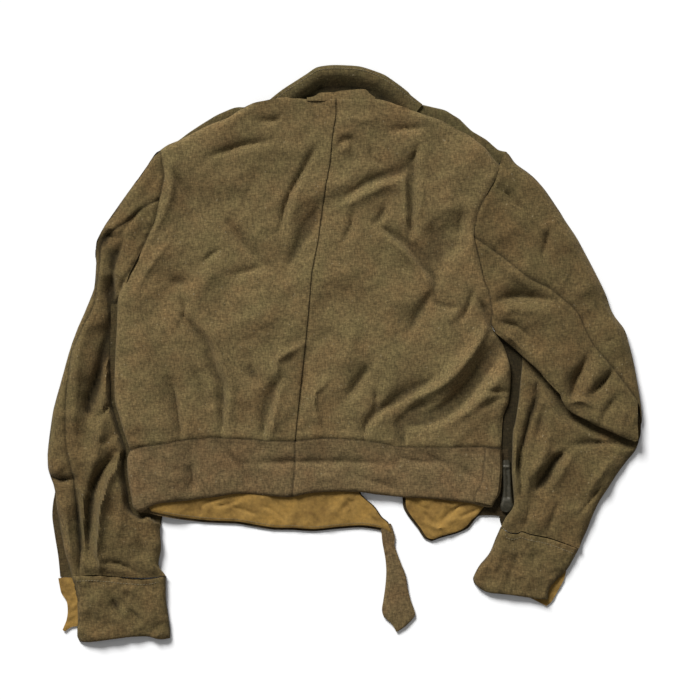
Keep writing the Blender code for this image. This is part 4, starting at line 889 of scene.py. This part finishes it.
def add_left_sleeve():
    head = [p for p in ARMHOLE_LEFT[::-1] if p[1] > 200] + [LEFT_SEAM[0]]
    under = patch(head, LEFT_CUFF_LINE, LEFT_INNER, LEFT_SEAM)
    cloth("sleeve_left_under_piece", under, left_height(under), wool_sleeve,
          ["sleeve_left_under"])
    head = [LEFT_SEAM[0]] + [p for p in ARMHOLE_LEFT[::-1] if p[1] < 200]
    outer = patch(head, [(79, 575.4), (71.3, 575.4)], LEFT_SEAM, LEFT_OUTER)
    cloth("sleeve_left_top_piece", outer, left_height(outer), wool_sleeve,
          ["sleeve_left_top"])
    inner = [(x - 1.5, y) for x, y in LEFT_INNER]
    lower = patch(ARMHOLE_LEFT[::-1], [(164, 576), (120, 577), (60, 577)], inner, LEFT_LOWER, 4)
    height = WOOL + 0.5 * drop(lower, LEFT_LOWER, 1.0, 6)
    # this layer gets less painted shade: the height it is worked from is lifted by 3.2 mm
    cloth("sleeve_left_lower", lower, height, wool_hidden_painted_shade, painted_shade_lift=3.2)


def add_right_sleeve():
    head = [p for p in ARMHOLE_RIGHT[::-1] if p[1] >= 237]
    under = patch(head, RIGHT_LAP_FAR + [(637, 425), (637, 400)], RIGHT_LAP_NEAR, RIGHT_SEAM)
    cloth("sleeve_right_under_piece", under, upper_height(under), wool_sleeve,
          ["sleeve_right_under"])
    outer = patch(RIGHT_HEAD, [(637, 400), (641, 412), (641.5, 424)], RIGHT_SEAM, RIGHT_OUTER)
    cloth("sleeve_right_top_piece", outer, upper_height(outer), wool_sleeve,
          ["sleeve_right_top"])
    fore = patch(FORE_TOP, RIGHT_CUFF_LINE, FORE_LEFT, FORE_RIGHT)
    cloth("sleeve_right_fore", fore, fore_height(fore), wool_sleeve, ())
    head = [(495, 332.5), (486, 290), (476, 237), (482, 205), (500, 165), (506, 153)]
    inner = [(491, 332.5), (496, 345), (500, 370), (500, 401), (497, 432), (497, 480), (500, 520), (502, 527)]
    outer = [(506, 153)] + RIGHT_OUTER[2:] + FORE_RIGHT[2:]
    lower = patch(head, [(502, 527), (540, 537), (577, 548)], inner, outer, 4)
    cloth("sleeve_right_lower", lower, flat_on_floor(lower), wool_hidden_painted_shade)


def add_cuffs():
    for side, top, foot, sides, rows in (
        ("left", CUFF_LEFT_TOP, CUFF_LEFT_FOOT, CUFF_LEFT_SIDES, CUFF_LEFT_FOLDS),
        ("right", CUFF_RIGHT_TOP, CUFF_RIGHT_FOOT, CUFF_RIGHT_SIDES, CUFF_RIGHT_FOLDS),
    ):
        grid = patch(top, foot, *sides, 2.0)
        height = CUFF_TOP + folds(rows, grid) + crumple(grid, 71, 50, 1.6) + crumple(grid, 72, 26, 0.7)
        height -= drop(grid, sides[0], 7.0, 8) + drop(grid, sides[1], 7.0, 8)
        height -= drop(grid, top, 1.2, 3) + drop(grid, foot, 2.2, 5)
        distance, _, _ = nearest(smooth(top, 40), grid)
        height = np.maximum(height - 0.45 * np.exp(-(((distance - 7.5) / 1.2) ** 2)), 2.4)
        cloth(f"cuff_{side}_piece", grid, height, wool_sleeve,
              [f"cuff_{side}"])
        row = [(x - 1.5, y + 5.2) for x, y in top]
        row[0] = (row[0][0] + 5, row[0][1])
        row[-1] = (row[-1][0] - 3, row[-1][1])
        stitches(f"cuff_{side}_stitches", row, grid, height)
        lower = patch(top, foot, *sides, 5.0)
        cloth(f"cuff_{side}_lower", lower, flat_on_floor(lower), wool_hidden_painted_shade)
    left = patch([(58, 578.5), (64, 577.6), (77, 578)],
                 [(62.3, 630), (64.5, 631.6), (70.6, 627.6), (80, 626)],
                 [(58, 578.5), (61, 593), (66.5, 602), (67.4, 613), (66, 621), (62.3, 630)],
                 [(77, 578), (80, 600), (80, 626)], 1.6)
    right = patch([(566.4, 571.4), (561, 569)], [(546.7, 606.3), (531, 598.4)],
                  [(566.4, 571.4), (564, 580), (561, 586), (551.8, 602), (546.7, 606.3)],
                  [(561, 569), (548, 582), (531, 598.4)], 1.6)
    for side, grid, height in (
        ("left", left, 2.6 + uneven(left, 81, 14, 0.35)),
        ("right", right, 2.2 + uneven(right, 82, 14, 0.3)),
    ):
        cloth(f"cuff_facing_{side}", grid, height, drill, [f"cuff_lining_{side}"],
              thickness=DRILL)


def add_belt():
    strap = patch([BELT_LEFT[0], BELT_RIGHT[0]], [BELT_LEFT[-1], BELT_RIGHT[-1]], BELT_LEFT, BELT_RIGHT, 1.6)
    height = 4.4 + uneven(strap, 91, 30, 0.3)
    height -= drop(strap, BELT_LEFT, 1.6, 4) + drop(strap, BELT_RIGHT, 1.6, 4)
    height = np.maximum(height + folds(BELT_FOLDS, strap), 3.0)
    # the belt gets less painted shade: the height it is worked from is lifted by 5 mm
    cloth("belt_strap_piece", strap, height, wool_band, ["belt_strap"], thickness=2.8, painted_shade_lift=5)


def add_buckle():
    edge = TAB_EDGE[1:]
    tab = patch([(486, 448), (500, 449)], [(474, 501), (491, 505)], edge,
                [(500, 449), (500, 465), (499, 480), (497, 494), (491, 505)], 1.8)
    height = band_height(tab) + 2.3 - drop(tab, edge, 1.6, 3)
    cloth("buckle_tab_piece", tab, height, wool_band, ["buckle_tab"])
    left = [(503.4, 460), (502.6, 463), (502.6, 475), (503, 490), (501.5, 500), (500.5, 506), (501.5, 510.5),
            (504, 512)]
    right = [(509.4, 460), (510.5, 463), (511, 475), (511.6, 490), (512.6, 500), (513.4, 506), (512, 510.5),
             (509, 512)]
    grid = patch([left[0], right[0]], [left[-1], right[-1]], left, right, 0.9)
    height = 6.4 - drop(grid, left, 1.4, 2.2) - drop(grid, right, 1.4, 2.2)
    distance, _, _ = nearest(smooth([(506.8, 470), (507.4, 484), (507.4, 497)], 20), grid)
    height -= 1.5 * np.exp(-((distance / 1.3) ** 2))
    for rise, row, half in ((1.1, 504, 6.5), (0.9, 467, 1.6)):
        height += rise * np.exp(-(((grid[..., 1] - to_mm([(0, row)])[0, 1]) / half) ** 4))
    piece, _ = shell("buckle_piece", grid, height, 1.8, paint)
    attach(piece, "root")
    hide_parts("buckle")


def stitches(name, line, grid, height, pitch=3.4, size=0.4):
    """A row of sewing thread: short rounded stitches lying on the cloth."""
    path = smooth(line, int(length_of(line) / pitch))
    way = np.gradient(path, axis=0)
    way /= np.linalg.norm(way, axis=1, keepdims=True)
    side = np.stack([-way[:, 1], way[:, 0]], axis=1)
    flat = grid.reshape(-1, 2)
    vertices, faces = [], []
    for point, along, across in zip(path[1:-1], way[1:-1], side[1:-1]):
        start = len(vertices)
        level = height.ravel()[np.argmin(((flat - point) ** 2).sum(axis=1))] + 0.1
        for s, w in ((-0.4, 0.4), (-0.2, 1), (0.2, 1), (0.4, 0.4)):
            for k in range(6):
                angle = math.pi * k / 3
                spot = point + along * s * pitch + across * size * w * math.cos(angle)
                vertices.append((spot[0], spot[1], level + size * w * math.sin(angle)))
        for ring in range(3):
            for k in range(6):
                a, b = start + 6 * ring + k, start + 6 * ring + (k + 1) % 6
                faces.append((a, b, b + 6, a + 6))
        faces.append(tuple(start + k for k in range(5, -1, -1)))
        faces.append(tuple(start + 18 + k for k in range(6)))
    piece = mesh_object(name, vertices, faces, thread)
    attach(piece, "root")


def add_stage():
    """A plain pale floor, a soft even sky and one broad soft light from the collar's side."""
    half = 6.0
    floor = bpy.data.meshes.new("floor")
    corners = [(-half, -half, 0), (half, -half, 0), (half, half, 0), (-half, half, 0)]
    floor.from_pydata(corners, [], [(0, 1, 2, 3)])
    material, tree, shader, place = nodes_for("floor_paper")
    tone = ramp(tree, noise(tree, place, 3, 2, 0.5), [(0.3, grey(0.86)), (0.7, grey(0.88))])
    set_inputs(tree, shader, {"Base Color": tone, "Roughness": 0.9})
    floor.materials.append(material)
    thing = bpy.data.objects.new("floor", floor)
    thing.location = (0, 0, -0.0004)
    bpy.context.scene.collection.objects.link(thing)
    world = bpy.data.worlds.new("studio")
    world.use_nodes = True
    background = world.node_tree.nodes["Background"]
    background.inputs["Color"].default_value = (1, 1, 1, 1)
    background.inputs["Strength"].default_value = SKY_LIGHT
    bpy.context.scene.world = world
    light = bpy.data.lights.new("key", "SUN")
    light.energy = KEY_LIGHT
    light.angle = math.radians(22)
    lamp = bpy.data.objects.new("key", light)
    lamp.rotation_euler = (math.radians(-48), math.radians(-33), 0)
    bpy.context.scene.collection.objects.link(lamp)
    camera = bpy.data.cameras.new("camera")
    camera.sensor_width = 36
    camera.lens = 150
    eye = bpy.data.objects.new("camera", camera)
    distance = VIEW_WIDTH * camera.lens / camera.sensor_width
    eye.location = (0.006875, 0.00525, distance + 0.006)
    bpy.context.scene.collection.objects.link(eye)
    bpy.context.scene.camera = eye
    bpy.context.scene.view_settings.view_transform = "Standard"


add_stage()
add_body()
add_fronts()
add_front_bands()
add_collar()
add_straps()
add_left_sleeve()
add_right_sleeve()
add_cuffs()
add_belt()
add_buckle()
